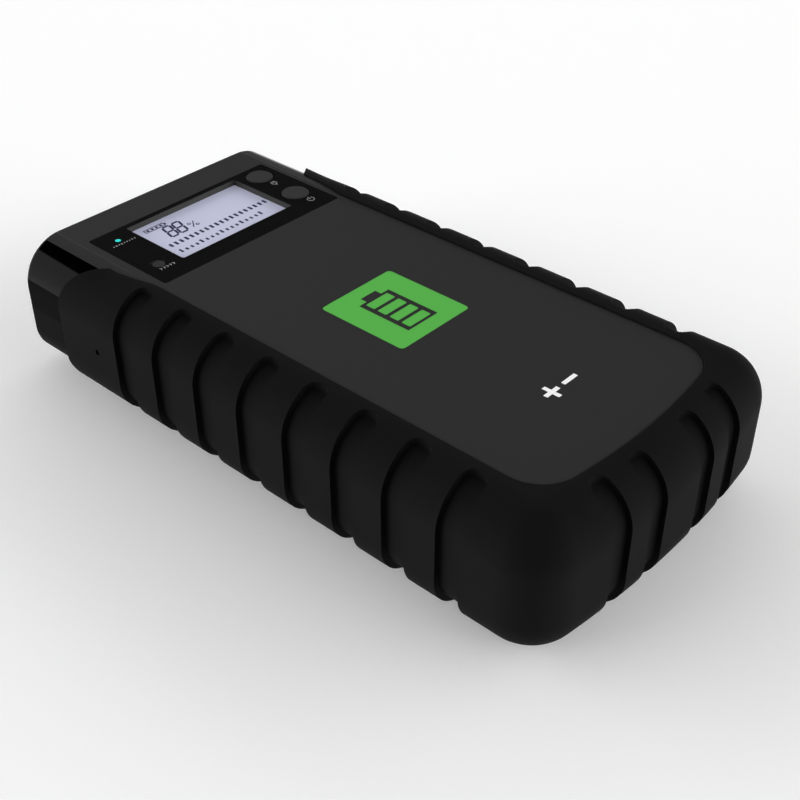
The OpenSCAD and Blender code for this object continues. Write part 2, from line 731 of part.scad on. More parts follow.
// Lead from a cell's strap or the fuse up to its socket contact
module lead(x, from) bar(x, port_z, lead_r, lead_end_y, lead_end_y - from);

module positive_lead() color("firebrick") lead(positive_x, fuse_y[1]);

module negative_lead() color("#101010") lead(negative_x, tab_y + 1);

lower_housing();
upper_housing();
rubber_boot();
housing_screws();
display_bezel();
lcd_frame();
lcd_panel();
lcd_backlight();
display_board();
display_screws();
power_button();
function_button();
boost_button();
power_plunger();
function_plunger();
boost_plunger();
tact_switches();
charge_light_pipe();
charge_led();
end_panel();
socket_cover();
cover_hinge_pin();
jump_socket();
jump_contacts();
charge_jack();
charge_jack_pin();
usb_shell_lower();
usb_shell_upper();
usb_insulator();
torch_reflector();
torch_lens();
torch_led();
main_board();
board_screws();
power_transistors();
heat_sink();
capacitors();
inductor();
buzzer();
board_ribbon();
ribbon_sockets();
balance_plug();
cell_lower();
cell_middle();
cell_upper();
cell_foam();
pack_cushion();
bus_bars();
fuse_link();
positive_lead();
negative_lead();
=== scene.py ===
"""Looks of a jump starter pack: finishes, rubber boot, display signs and studio, round its construction model."""
import json
import logging
import math
from dataclasses import dataclass, field
from enum import Enum

import bpy
import numpy as np
from mathutils import Matrix, Vector
from mathutils.geometry import tessellate_polygon

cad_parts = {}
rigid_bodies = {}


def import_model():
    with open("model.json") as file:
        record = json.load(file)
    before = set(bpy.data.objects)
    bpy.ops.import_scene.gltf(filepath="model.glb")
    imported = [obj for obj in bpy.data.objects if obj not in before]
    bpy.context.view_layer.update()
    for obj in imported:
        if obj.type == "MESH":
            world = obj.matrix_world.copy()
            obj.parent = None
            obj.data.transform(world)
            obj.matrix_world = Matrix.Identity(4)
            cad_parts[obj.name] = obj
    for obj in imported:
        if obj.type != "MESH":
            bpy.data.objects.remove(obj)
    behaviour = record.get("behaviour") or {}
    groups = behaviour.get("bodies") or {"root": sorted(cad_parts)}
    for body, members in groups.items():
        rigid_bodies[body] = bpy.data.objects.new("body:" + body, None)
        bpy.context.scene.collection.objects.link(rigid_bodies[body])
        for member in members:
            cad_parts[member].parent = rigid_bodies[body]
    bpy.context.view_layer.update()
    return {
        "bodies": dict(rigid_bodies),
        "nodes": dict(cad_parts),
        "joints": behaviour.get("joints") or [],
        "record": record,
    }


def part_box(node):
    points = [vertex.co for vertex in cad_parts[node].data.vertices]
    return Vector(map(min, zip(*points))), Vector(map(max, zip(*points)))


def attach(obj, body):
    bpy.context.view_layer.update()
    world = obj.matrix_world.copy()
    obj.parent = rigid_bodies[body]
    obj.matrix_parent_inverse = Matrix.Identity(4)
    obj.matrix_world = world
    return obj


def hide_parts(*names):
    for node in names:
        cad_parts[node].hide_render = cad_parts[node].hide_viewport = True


LOG = logging.getLogger("jump_starter_pack")
MM = 0.001
ROOT_BODY = "pack"
RIGHT_ANGLE = math.pi / 2

Array = np.ndarray
Node = bpy.types.Node
Socket = bpy.types.NodeSocket
Material = bpy.types.Material
Object = bpy.types.Object
Point2 = tuple[float, float]
Points = tuple[Point2, ...]
Floats = tuple[float, ...]
Triple = tuple[float, float, float]
Value = Socket | float | tuple[float, float, float, float]
Patch = tuple[range, range]


# ---- shader nodes

@dataclass(frozen=True)
class Wiring:
    """Node tree of a material or of the world, with the steps that it is made of."""

    tree: bpy.types.NodeTree

    def node(self, kind: str) -> Node:
        """Adds a node of a kind."""
        return self.tree.nodes.new(f"ShaderNode{kind}")

    def put(self, value: Value, socket: Socket) -> None:
        """Gives an input socket a constant, or a link from another socket."""
        if isinstance(value, Socket):
            self.tree.links.new(value, socket)
        else:
            socket.default_value = value

    def calc(self, operation: str, a: Value, b: Value = 0.0) -> Socket:
        """Adds one step of arithmetic and returns its result."""
        node = self.node("Math")
        node.operation = operation
        self.put(a, node.inputs[0])
        self.put(b, node.inputs[1])
        return node.outputs[0]

    def times(self, *factors: Value) -> Socket:
        """Multiplies values and returns their product."""
        product = factors[0]
        for factor in factors[1:]:
            product = self.calc("MULTIPLY", product, factor)
        return product

    def mix(self, factor: Value, a: Value, b: Value, kind: str = "RGBA") -> Socket:
        """Adds a mix of two colours, or of two numbers where the kind is FLOAT, and returns its result."""
        node = self.node("Mix")
        node.data_type = kind
        for name, value in (("Factor", factor), ("A", a), ("B", b)):
            self.put(value, node.inputs[name])
        return node.outputs["Result"]

    def ramp(self, value: Value, start: float, end: float, low: float = 0.0, high: float = 1.0) -> Socket:
        """Adds a clamped ramp from a low result where the value is at its start, to a high one at its end."""
        node = self.node("MapRange")
        self.put(value, node.inputs["Value"])
        for name, bound in (("From Min", start), ("From Max", end), ("To Min", low), ("To Max", high)):
            node.inputs[name].default_value = bound
        return node.outputs["Result"]

    def split(self, vector: Socket) -> tuple[Socket, ...]:
        """Returns X, Y and Z of a vector."""
        node = self.node("SeparateXYZ")
        self.put(vector, node.inputs[0])
        return tuple(node.outputs)

    def noise(self, place: Socket, size_mm: float, detail: float, stretch: float = 1.0) -> Socket:
        """Adds a noise texture.

        Args:
            place: Point to read it at.
            size_mm: Size of one lump, in millimetres.
            detail: Octaves of detail.
            stretch: Share of the frequency kept along X.

        Returns:
            The noise's value.
        """
        mapping, noise = self.node("Mapping"), self.node("TexNoise")
        mapping.inputs["Scale"].default_value = (stretch, 1.0, 1.0)
        noise.inputs["Scale"].default_value = 1.0 / (size_mm * MM)
        noise.inputs["Detail"].default_value = detail
        self.put(place, mapping.inputs["Vector"])
        self.put(mapping.outputs["Vector"], noise.inputs["Vector"])
        return noise.outputs["Fac"]


# ---- finishes

class Grain(Enum):
    """Relief of a finish: size and height in millimetres, and the share of the frequency kept along X."""

    POLISHED = (6.0, 0.002, 1.0)
    SATIN = (0.18, 0.004, 1.0)
    SPARKED = (0.35, 0.012, 1.0)
    RUBBER = (0.5, 0.006, 1.0)
    BRUSHED = (0.25, 0.006, 0.04)
    FOAM = (0.6, 0.08, 1.0)
    FOIL = (2.5, 0.05, 1.0)


GRAIN_DETAIL = 3.0
DRIFT_SIZE = 18.0
DRIFT_DETAIL = 2.0
ROUGHNESS_SPREAD = 0.1


@dataclass(frozen=True)
class Zone:
    """Colour and roughness of one zone of a moulding, between two heights and within a width. Sizes in metres."""

    color: Triple
    roughness: float
    low: float = -1.0
    high: float = 1.0
    half_width: float = 1.0

    def mask(self, wires: Wiring, at: tuple[Socket, ...]) -> Socket:
        """Adds a value of 1 in the zone and 0 outside it, from the X, Y and Z of a point."""
        within = wires.calc("LESS_THAN", wires.calc("ABSOLUTE", at[0]), self.half_width)
        return wires.times(within, wires.calc("GREATER_THAN", at[2], self.low),
                           wires.calc("LESS_THAN", at[2], self.high))


@dataclass(frozen=True)
class Surround(Zone):
    """Zone beyond a radius round an upright axis."""

    x: float = 0.0
    y: float = 0.0
    radius: float = 0.0

    def mask(self, wires: Wiring, at: tuple[Socket, ...]) -> Socket:
        """Adds a value of 1 beyond the radius and 0 within it, from the X, Y and Z of a point."""
        aside = (wires.calc("SUBTRACT", at[0], self.x), wires.calc("SUBTRACT", at[1], self.y))
        return wires.calc("GREATER_THAN", wires.calc("ADD", *[wires.times(a, a) for a in aside]), self.radius ** 2)


@dataclass(frozen=True)
class Finish:
    """One surface finish, made as a procedural material.

    Args:
        name: Material name.
        color: Linear base colour.
        roughness: Middle roughness.
        grain: Relief of the surface.
        mottle: Share by which the colour drifts over the surface.
        metallic: 1 for bare metal.
        specular: Specular level of the shader.
        glow: Emission strength.
        transmission: Share of light let through.
        zones: Zones of other colour and roughness, laid over the finish in order.
    """

    name: str
    color: Triple
    roughness: float
    grain: Grain = Grain.SATIN
    mottle: float = 0.08
    metallic: float = 0.0
    specular: float = 0.5
    glow: float = 0.0
    transmission: float = 0.0
    zones: tuple[Zone, ...] = ()

    def shade(self, share: float) -> tuple[float, float, float, float]:
        """Returns the base colour times a share, with full alpha."""
        return (*[min(1.0, c * share) for c in self.color], 1.0)

    def material(self) -> Material:
        """Builds the material, or returns the one that was built before.

        Returns:
            The material, with its colour, roughness and relief driven by noise in object space.
        """
        name = f"{self.name}_finish"
        if name in bpy.data.materials:
            return bpy.data.materials[name]
        mat = bpy.data.materials.new(name)
        mat.use_nodes = True
        wires = Wiring(mat.node_tree)
        shader = mat.node_tree.nodes["Principled BSDF"]
        levels = {"Metallic": self.metallic, "Specular IOR Level": self.specular,
                  "Transmission Weight": self.transmission}
        if self.glow:
            levels |= {"Emission Color": (*self.color, 1.0), "Emission Strength": self.glow}
        for socket, level in levels.items():
            shader.inputs[socket].default_value = level
        size, height, stretch = self.grain.value
        place = wires.node("TexCoord").outputs["Object"]
        drift = wires.noise(place, DRIFT_SIZE, DRIFT_DETAIL)
        fine = wires.noise(place, size, GRAIN_DETAIL, stretch)
        colour = wires.mix(drift, self.shade(1.0 - self.mottle), self.shade(1.0 + self.mottle))
        rough = wires.ramp(fine, 0.0, 1.0, self.roughness * (1.0 - ROUGHNESS_SPREAD),
                           min(1.0, self.roughness * (1.0 + ROUGHNESS_SPREAD)))
        at = wires.split(place) if self.zones else ()
        for zone in self.zones:
            mask = zone.mask(wires, at)
            colour = wires.mix(mask, colour, (*zone.color, 1.0))
            rough = wires.mix(mask, rough, zone.roughness, "FLOAT")
        wires.put(colour, shader.inputs["Base Color"])
        wires.put(rough, shader.inputs["Roughness"])
        bump = wires.node("Bump")
        bump.inputs["Strength"].default_value = 1.0
        bump.inputs["Distance"].default_value = height * MM
        wires.put(fine, bump.inputs["Height"])
        wires.put(bump.outputs["Normal"], shader.inputs["Normal"])
        return mat


def grey(level: float) -> Triple:
    """Returns a neutral colour."""
    return level, level, level


BOOT_RUBBER = Finish("boot_rubber", grey(0.009), 0.55, Grain.RUBBER, 0.12, specular=0.015)
SEGMENT_INK = Finish("segment_ink", (0.025, 0.03, 0.085), 0.4, Grain.SATIN, 0.1)
SIGN_GREEN = Finish("sign_green", (0.085, 0.50, 0.055), 0.5, Grain.SATIN, 0.03, specular=0.3)
# Painted glow: the white print has a small emission so it looks brighter, though it gives no light of its own.
SIGN_WHITE = Finish("sign_white", grey(0.93), 0.5, Grain.SATIN, 0.02, specular=0.3, glow=0.08)
PRINT_GREY = Finish("print_grey", grey(0.42), 0.5, Grain.SATIN, 0.02, specular=0.3)
FRAME_COLOR = (0.055, 0.055, 0.05)
SATIN_TOP = Zone(grey(0.0275), 0.5, low=0.037, half_width=0.0397)
MATT_SKIRT = Zone(grey(0.0015), 1.0, high=0.029)
RECESS_WALL = Zone(FRAME_COLOR, 0.5, high=0.03925)
LIGHT_EDGE = Surround((0.002, 0.06, 0.057), 0.2, x=-0.0271, y=0.0773, radius=0.0008)

SLOT_FINISH = {finish.name: finish for finish in (
    BOOT_RUBBER,
    Finish("cover_rubber", grey(0.003), 0.6, Grain.SPARKED, 0.1, specular=0.1),
    Finish("panel_plastic", grey(0.0002), 0.07, Grain.POLISHED, 0.05, specular=0.14, zones=(SATIN_TOP, MATT_SKIRT)),
    Finish("housing_plastic", grey(0.006), 0.5, Grain.SATIN, 0.05, specular=0.015),
    Finish("bezel_gloss", grey(0.0055), 0.16, Grain.POLISHED, 0.05, specular=0.14, zones=(RECESS_WALL,)),
    Finish("frame_plastic", FRAME_COLOR, 0.5, Grain.SATIN, specular=0.2),
    Finish("display_glass", (0.436, 0.447, 0.575), 0.25, Grain.RUBBER, 0.035, specular=0.3, glow=0.4),
    Finish("white_plastic", (0.72, 0.72, 0.69), 0.4, Grain.SATIN, 0.04),
    Finish("circuit_board", (0.02, 0.11, 0.05), 0.35, Grain.SATIN, 0.25),
    Finish("button_plastic", grey(0.031), 0.5, Grain.SATIN, 0.05, specular=0.3),
    Finish("black_plastic", grey(0.012), 0.4),
    Finish("light_turquoise", (0.02, 0.88, 0.80), 0.3, Grain.POLISHED, 0.05, specular=0.14, zones=(LIGHT_EDGE,)),
    Finish("end_plastic", (0.014, 0.014, 0.0142), 0.5, Grain.SPARKED, 0.1),
    Finish("socket_plastic", (0.02, 0.07, 0.32), 0.4),
    Finish("contact_brass", (0.83, 0.62, 0.28), 0.25, Grain.BRUSHED, 0.06, metallic=1.0),
    Finish("steel", (0.62, 0.62, 0.61), 0.3, Grain.BRUSHED, 0.06, metallic=1.0),
    Finish("reflector_chrome", grey(0.82), 0.08, Grain.POLISHED, 0.02, metallic=1.0),
    Finish("lens_clear", (0.93, 0.95, 0.97), 0.05, Grain.POLISHED, 0.01, transmission=1.0),
    Finish("aluminium_plain", (0.68, 0.69, 0.71), 0.35, Grain.BRUSHED, 0.05, metallic=1.0),
    Finish("cell_foil", (0.62, 0.63, 0.65), 0.35, Grain.FOIL, 0.05, metallic=1.0),
    Finish("foam_grey", grey(0.08), 0.9, Grain.FOAM, 0.15, specular=0.2),
    Finish("strap_copper", (0.78, 0.42, 0.26), 0.3, Grain.BRUSHED, 0.08, metallic=1.0),
    Finish("lead_red", (0.42, 0.03, 0.02), 0.5, Grain.RUBBER),
    Finish("lead_black", grey(0.012), 0.5, Grain.RUBBER),
)}


# ---- mesh helpers

def new_object(name: str, data: bpy.types.ID) -> Object:
    """Makes an object and links it to the scene."""
    made = bpy.data.objects.new(name, data)
    bpy.context.scene.collection.objects.link(made)
    return made


def register(piece: Object) -> None:
    """Lets a piece ride on the case and reports it."""
    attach(piece, ROOT_BODY)
    LOG.info("%s: %d faces on %s", piece.name, len(piece.data.polygons), ROOT_BODY)


def ring_cells(columns: int, rows: int) -> list[tuple[int, int]]:
    """Returns the cells round a grid's edge, in order."""
    return ([(c, 0) for c in range(columns - 1)] + [(columns - 1, r) for r in range(rows - 1)]
            + [(c, rows - 1) for c in range(columns - 1, 0, -1)] + [(0, r) for r in range(rows - 1, 0, -1)])


def ring_of(ids: Array) -> list[int]:
    """Returns the point numbers round a grid's edge, in order."""
    return [int(ids[c, r]) for c, r in ring_cells(*ids.shape)]


@dataclass
class Shell:
    """Points and faces of a mesh while it grows. Sizes in millimetres."""

    verts: list[list[float]] = field(default_factory=list)
    faces: list[tuple[int, ...]] = field(default_factory=list)

    def add(self, points: Array | list) -> list[int]:
        """Adds points and returns their numbers."""
        start = len(self.verts)
        self.verts += np.reshape(points, (-1, 3)).tolist()
        return list(range(start, len(self.verts)))

    def grid(self, points: Array, flip: bool, patch: Patch = (range(0), range(0))) -> Array:
        """Adds a grid of quads.

        Args:
            points: Points by column and row.
            flip: Whether the faces look the other way.
            patch: Columns and rows of quads that are left open.

        Returns:
            The grid's point numbers.
        """
        columns, rows = points.shape[:2]
        ids = np.array(self.add(points)).reshape(columns, rows)
        for c in range(columns - 1):
            for r in range(rows - 1):
                if c in patch[0] and r in patch[1]:
                    continue
                quad = (ids[c, r], ids[c, r + 1], ids[c + 1, r + 1], ids[c + 1, r])
                self.faces.append(tuple(int(i) for i in (quad[::-1] if flip else quad)))
        return ids

    def stitch(self, one: list[int], other: list[int]) -> None:
        """Joins two closed loops of equal length with quads."""
        n = len(one)
        for k in range(n):
            self.faces.append((one[k], one[(k + 1) % n], other[(k + 1) % n], other[k]))

    def zip(self, one: list[int], other: list[int], spans: list[tuple[int, int]]) -> None:
        """Joins two closed loops of unequal length with triangles.

        Args:
            one: One loop.
            other: The other loop.
            spans: Counts of edges of the one and the other along each side.
        """
        one, other = one + one[:1], other + other[:1]
        i = j = 0
        for a, b in spans:
            for _, on_other in sorted([(k / a, False) for k in range(a)] + [(k / b, True) for k in range(b)]):
                if on_other:
                    self.faces.append((one[i], other[j + 1], other[j]))
                    j += 1
                else:
                    self.faces.append((one[i], one[i + 1], other[j]))
                    i += 1

    def build(self, name: str, material: Material, smooth: bool = False) -> Object:
        """Makes an object of the points and faces, in one material."""
        mesh = bpy.data.meshes.new(name)
        mesh.from_pydata((np.array(self.verts) * MM).tolist(), [], self.faces)
        mesh.validate()
        mesh.polygons.foreach_set("use_smooth", [smooth] * len(mesh.polygons))
        mesh.materials.append(material)
        mesh.update()
        return new_object(name, mesh)


# ---- rubber boot

class Stretch(Enum):
    """Part of the boot's sweep that a column belongs to."""

    SIDE = "side"
    SWEEP = "sweep"
    CORNER = "corner"
    END = "end"


Column = tuple[Stretch, float, float]


@dataclass(frozen=True)
class PanelOutline:
    """Plan of a flat panel that the boot frames, with straight sides, round near corners and a bowed near edge.

    Args:
        half_width: Half width between the sides.
        corner_r: Radius of the near corners.
        bow_r: Radius of the near edge.
        bow_y: Centre of the near edge's bow, on the middle line.
    """

    half_width: float
    corner_r: float
    bow_r: float
    bow_y: float

    def outside(self, x: float, y: float) -> tuple[float, Point2]:
        """Measures how far a point lies outside the outline.

        Args:
            x: Place across.
            y: Place along.

        Returns:
            The distance, and the outline's outward direction there.
        """
        side, across = math.copysign(1.0, x), abs(x)
        corner_x = self.half_width - self.corner_r
        reach = self.bow_r - self.corner_r
        corner_y = self.bow_y - math.sqrt(reach ** 2 - corner_x ** 2)
        if y >= corner_y:
            return across - self.half_width, (side, 0.0)
        if math.atan2(across, self.bow_y - y) < math.asin(corner_x / reach):
            centre, radius = (0.0, self.bow_y), self.bow_r
        else:
            centre, radius = (corner_x, corner_y), self.corner_r
        dx, dy = across - centre[0], y - centre[1]
        far = math.hypot(dx, dy)
        return far - radius, (side * dx / far, dy / far)


TOP_PANEL = PanelOutline(half_width=35.85, corner_r=11.15, bow_r=178.15, bow_y=93.9)
BASE_PANEL = PanelOutline(half_width=33.15, corner_r=10.15, bow_r=172.75, bow_y=93.9)


@dataclass(frozen=True)
class SlotShape:
    """Section of the boot's slots: a steep wall and a small fillet to the floor. Sizes in millimetres."""

    depth: float = 1.65
    wall: float = 1.3
    wall_run: float = 0.07
    fillet: float = 0.35
    apex_run: float = 0.3
    snap_out: float = 0.09
    snap_in: float = 0.17

    def cut(self, inside: Array, ahead: Array) -> Array:
        """Returns the depth below the skin at a distance inside a slot's edge, whose wall slopes more at the apex."""
        run = self.wall_run + self.apex_run * ahead ** 2
        steep = self.wall * np.clip(inside / run, 0.0, 1.0)
        share = np.clip((inside - run) / self.fillet, 0.0, 1.0)
        return steep + (self.depth - self.wall) * np.sqrt(1.0 - (1.0 - share) ** 2)

    def shift(self, inside: Array) -> Array:
        """Returns how far points near the edge move inwards, to lie on its top or on the wall's foot."""
        top = (inside > -self.snap_out) & (inside <= self.wall_run / 2)
        foot = (inside > self.wall_run / 2) & (inside < self.snap_in)
        return np.where(top, -inside, np.where(foot, self.wall_run - inside, 0.0))


@dataclass(frozen=True)
class PinHole:
    """Blind breather hole in the boot's left side, slightly taller than wide. Sizes in millimetres."""

    y: float = 61.1
    z: float = 19.7
    radius: float = 0.72
    tall: float = 1.25
    depth: float = 1.5
    margins: Point2 = (1.4, 1.6)
    parts: int = 4


@dataclass(frozen=True)
class Spacing:
    """Where the boot's columns and rows stand, close together at sharp edges. Sizes in millimetres.

    Args:
        floor: Columns over half a slot's floor, as shares of it.
        fillet: Columns over its fillet, as shares of it.
        beyond: Columns beyond its edge.
        gap: Columns between two slots, as shares of the gap.
        last_gap: Columns between the last slot and the corner, as shares of the same gap.
        sweep: Columns of the swept-back far edge, as shares of its reach.
        corner: Steps round a near corner.
        end: Columns of the near end beside those of its slots.
        lip: Rows before the slots' ends, as shares of the way.
        apex_lead: Way before the slots' ends where the close rows begin.
        apex_step: Step between the close rows.
        apex_rows: Number of the close rows.
        low_rows: Rows from there to the upright wall.
        wall_rows: Rows of the upright wall.
        inner_step: Outer rows to each row of the inside.
    """

    floor: Floats = (0.0, 0.26, 0.5, 0.68, 0.8, 0.88)
    fillet: Floats = (0.75, 0.5, 0.28, 0.1)
    beyond: Floats = (0.07, 0.25, 0.7)
    gap: Floats = (0.2, 0.4, 0.6, 0.8)
    last_gap: Floats = (0.2, 0.45, 0.7)
    sweep: Floats = (1.0, 0.985, 0.96, 0.92, 0.86, 0.79, 0.71, 0.62, 0.53, 0.44, 0.35, 0.26, 0.17, 0.08)
    corner: int = 24
    end: Floats = (0.0, 2.2, 4.4, 16.0, 17.2, 18.4, 29.5, 31.5, 33.5, 35.2)
    lip: Floats = (0.0, 0.2, 0.4, 0.6, 0.8)
    apex_lead: float = 0.15
    apex_step: float = 0.16
    apex_rows: int = 27
    low_rows: int = 10
    wall_rows: int = 7
    inner_step: int = 6


@dataclass
class RubberBoot:
    """Slotted rubber boot, a closed skin swept round the pack's two sides and its near end. Sizes in millimetres.

    Its plan has straight sides, round near corners and a bowed near end. Its section has a round-over at the top
    and one at the bottom. At the far end its edge is swept back over both round-overs, and its lip runs out in a
    tail beside the top panel.
    """

    half_width: float
    near_y: float
    far_y: float
    top_z: float
    panel: PanelOutline = TOP_PANEL
    base: PanelOutline = BASE_PANEL
    corner_r: float = 14.0
    end_r: float = 300.0
    top_r: float = 13.0
    low_r: float = 12.2
    lip_r: float = 0.3
    lip_turns: Floats = (0.4, 0.8, 1.2, RIGHT_ANGLE)
    top_thickness: float = 2.0
    side_thickness: float = 3.3
    bare_length: float = 19.0
    sweep_length: float = 12.0
    sweep_height: float = 11.0
    sweep_power: float = 2.3
    sweep_gap: float = 1.6
    tail_length: float = 15.5
    tail_width: float = 2.35
    tip_drop: float = 0.7
    tip_reach: float = 18.0
    slot: SlotShape = SlotShape()
    slot_width: float = 7.0
    end_slot_width: float = 6.2
    slot_apex: float = 2.65
    slot_count: int = 8
    slot_pitch: float = 16.45
    first_slot: float = 47.1
    end_slots: Floats = (-23.8, -10.3, 10.3, 23.8)
    hole: PinHole = PinHole()
    spacing: Spacing = Spacing()
    sharp_angle: float = 45.0
    tolerance: float = 1e-4
    far_outside: float = -9.0

    def __post_init__(self) -> None:
        """Works out the centres of the plan's arcs and of the slots."""
        self.corner_x = self.half_width - self.corner_r
        self.bow_y = self.near_y + self.end_r
        self.axis_r = self.end_r - self.corner_r
        self.corner_y = self.bow_y - math.sqrt(self.axis_r ** 2 - self.corner_x ** 2)
        self.bow = math.asin(self.corner_x / self.axis_r)
        self.top_axis = self.top_z - self.top_r
        self.slot_x = self.panel.half_width + self.slot_apex + self.slot_width / 2
        self.slot_y = [self.far_y - self.first_slot - i * self.slot_pitch for i in range(self.slot_count)]
        end_reach = self.panel.bow_r + self.slot_apex + self.end_slot_width / 2
        self.end_slot_y = [self.panel.bow_y - math.sqrt(end_reach ** 2 - x * x) for x in self.end_slots]
        self.sweep_start = self.slot_y[0] + self.slot_width / 2 + self.sweep_gap
        self.tip_y = self.far_y - self.bare_length - self.sweep_length

    # plan

    def place(self, column: Column, out: float) -> Point2:
        """Returns the plan point of a column at a distance outwards from the corner axes."""
        stretch, side, value = column
        if stretch in (Stretch.SIDE, Stretch.SWEEP):
            return side * (self.corner_x + out), value
        if stretch is Stretch.CORNER:
            return side * (self.corner_x + out * math.sin(value)), self.corner_y - out * math.cos(value)
        radius = self.axis_r + out
        return side * value, self.bow_y - math.sqrt(radius ** 2 - value ** 2)

    def outward(self, column: Column, x: Array, y: Array) -> tuple[Array, Array]:
        """Returns the skin's outward direction in plan at a column's points."""
        stretch, side, value = column
        if stretch is Stretch.END:
            radius = np.hypot(x, y - self.bow_y)
            return x / radius, (y - self.bow_y) / radius
        turn = value if stretch is Stretch.CORNER else RIGHT_ANGLE
        return np.full_like(x, side * math.sin(turn)), np.full_like(x, -math.cos(turn))

    def out_of(self, column: Column, x: Array, y: Array) -> Array:
        """Returns how far a column's points lie outwards from the corner axes, on the sides and the end."""
        if column[0] is Stretch.END:
            return np.hypot(x, self.bow_y - y) - self.axis_r
        return np.abs(x) - self.corner_x

    def tail_x(self, y: float) -> float:
        """Returns the half width of the lip's inner edge beside the panel's sides."""
        share = (self.tip_y - y) / self.tail_length
        if share >= 1.0:
            return self.panel.half_width
        return self.panel.half_width + self.tail_width * math.cos(RIGHT_ANGLE * max(0.0, share))

    def swept_back(self, height: Array, radius: float) -> Array:
        """Returns how far the far edge is swept back at a height over a round-over's centre."""
        share = np.clip(1.0 - (radius - height) / self.sweep_height, 0.0, 1.0)
        return self.sweep_length * (1.0 - (1.0 - share ** self.sweep_power) ** (1.0 / self.sweep_power))

    def across(self, width: float) -> list[float]:
        """Returns where columns stand across a slot, from its middle line."""
        half, foot = width / 2, width / 2 - self.slot.wall_run
        inner = [foot * f for f in self.spacing.floor] + [foot - self.slot.fillet * f for f in self.spacing.fillet]
        inner += [foot, half] + [half + f for f in self.spacing.beyond]
        return [-a for a in inner[:0:-1]] + inner

    def columns(self) -> list[Column]:
        """Returns the sweep's columns from the left far end, round the near end, to the right far end."""
        side_steps, end_steps = self.across(self.slot_width), self.across(self.end_slot_width)
        gap = self.slot_pitch - 2 * side_steps[-1]
        right = [(Stretch.SWEEP, f) for f in self.spacing.sweep]
        for y in self.slot_y:
            shares = self.spacing.last_gap if y == self.slot_y[-1] else self.spacing.gap
            right += [(Stretch.SIDE, y - a) for a in side_steps]
            right += [(Stretch.SIDE, y - side_steps[-1] - gap * f) for f in shares]
        turn, parts = RIGHT_ANGLE - self.bow, self.spacing.corner
        right += [(Stretch.CORNER, RIGHT_ANGLE - turn * k / parts) for k in range(parts + 1)]
        end_x = [x + a for x in self.end_slots if x > 0 for a in end_steps] + [*self.spacing.end]
        right += [(Stretch.END, x) for x in sorted(end_x, reverse=True)]
        left_half, right_half = [[(stretch, side, value) for stretch, value in right] for side in (-1.0, 1.0)]
        return left_half + right_half[-2::-1]

    # section

    def round_over(self, column: Column, top: bool) -> Array:
        """Lays one column's points from an inner edge to the upright wall, close together where slots end.

        Args:
            column: The column.
            top: Whether it is the top round-over, whose lip has a tail, or else the one below.

        Returns:
            X, Y, Z, and the outward and upward share of the normal, each for all points.
        """
        outline, radius = (self.panel, self.top_r) if top else (self.base, self.low_r)
        stretch, side, value = column
        space = self.spacing
        start = self.corner_r - radius
        inner_y = value
        if stretch is Stretch.SWEEP:
            inner_y = self.sweep_start + (self.tip_y - self.lip_r - self.sweep_start) * value
        at = (stretch, side, inner_y)
        x, y = self.place(at, start)
        away, way = outline.outside(x, y)
        if top and stretch in (Stretch.SIDE, Stretch.SWEEP) and inner_y > self.corner_y + self.corner_r:
            away = abs(x) - self.tail_x(inner_y)
        flat, inner = max(away, 0.0), (x - way[0] * away, y - way[1] * away)
        first = 0.0  # angle where the round-over starts, which is more than 0 where the panel reaches over it
        if away < 0.0:
            low, high = start, self.corner_r
            if stretch in (Stretch.SIDE, Stretch.SWEEP):
                high = low = start - away
            while high - low > self.tolerance:
                middle = (low + high) / 2
                low, high = (low, middle) if outline.outside(*self.place(at, middle))[0] > 0 else (middle, high)
            first = math.asin((high - start) / radius)
        turn = 1.0 if stretch is Stretch.END else 0.0
        if stretch is Stretch.CORNER:
            turn = (RIGHT_ANGLE - value) / (RIGHT_ANGLE - self.bow)
        side_apex = self.slot_x - self.slot_width / 2 - self.corner_x
        end_apex = self.panel.bow_r + self.slot_apex - self.panel.bow_y + self.bow_y - self.axis_r
        apex_out = side_apex + (end_apex - side_apex) * turn
        apex = flat + radius * (math.asin(max(0.0, apex_out - start) / radius) - first)
        total = flat + radius * (RIGHT_ANGLE - first)
        near = [self.lip_r + (apex - self.lip_r - space.apex_lead) * f for f in space.lip]
        fine = [apex - space.apex_lead + space.apex_step * k for k in range(space.apex_rows)]
        rest = [fine[-1] + (total - fine[-1]) * k / space.low_rows for k in range(1, space.low_rows + 1)]
        path = np.array(near + fine + rest)
        angle = first + np.maximum(path - flat, 0.0) / radius
        points = [self.place(at, start + radius * math.sin(a)) for a in angle]
        for i, way_in in enumerate(path):
            if way_in < flat:
                share = way_in / flat
                points[i] = (inner[0] + (x - inner[0]) * share, inner[1] + (y - inner[1]) * share)
        height = radius * np.cos(angle)
        px, py = np.array(points).T
        if stretch is Stretch.SWEEP:
            ends = self.far_y - self.bare_length - self.swept_back(height, radius) - self.lip_r
            py = self.sweep_start + (ends - self.sweep_start) * value
        elif stretch is not Stretch.CORNER:
            px, py = self.snap(px, py)
            angle = np.arcsin(np.clip((self.out_of(column, px, py) - start) / radius, 0.0, 1.0))
            height = radius * np.cos(angle)
        if top:
            return np.array([px, py, self.top_axis + height, np.sin(angle), np.cos(angle)])
        return np.array([px, py, self.low_r - height, np.sin(angle), -np.cos(angle)])

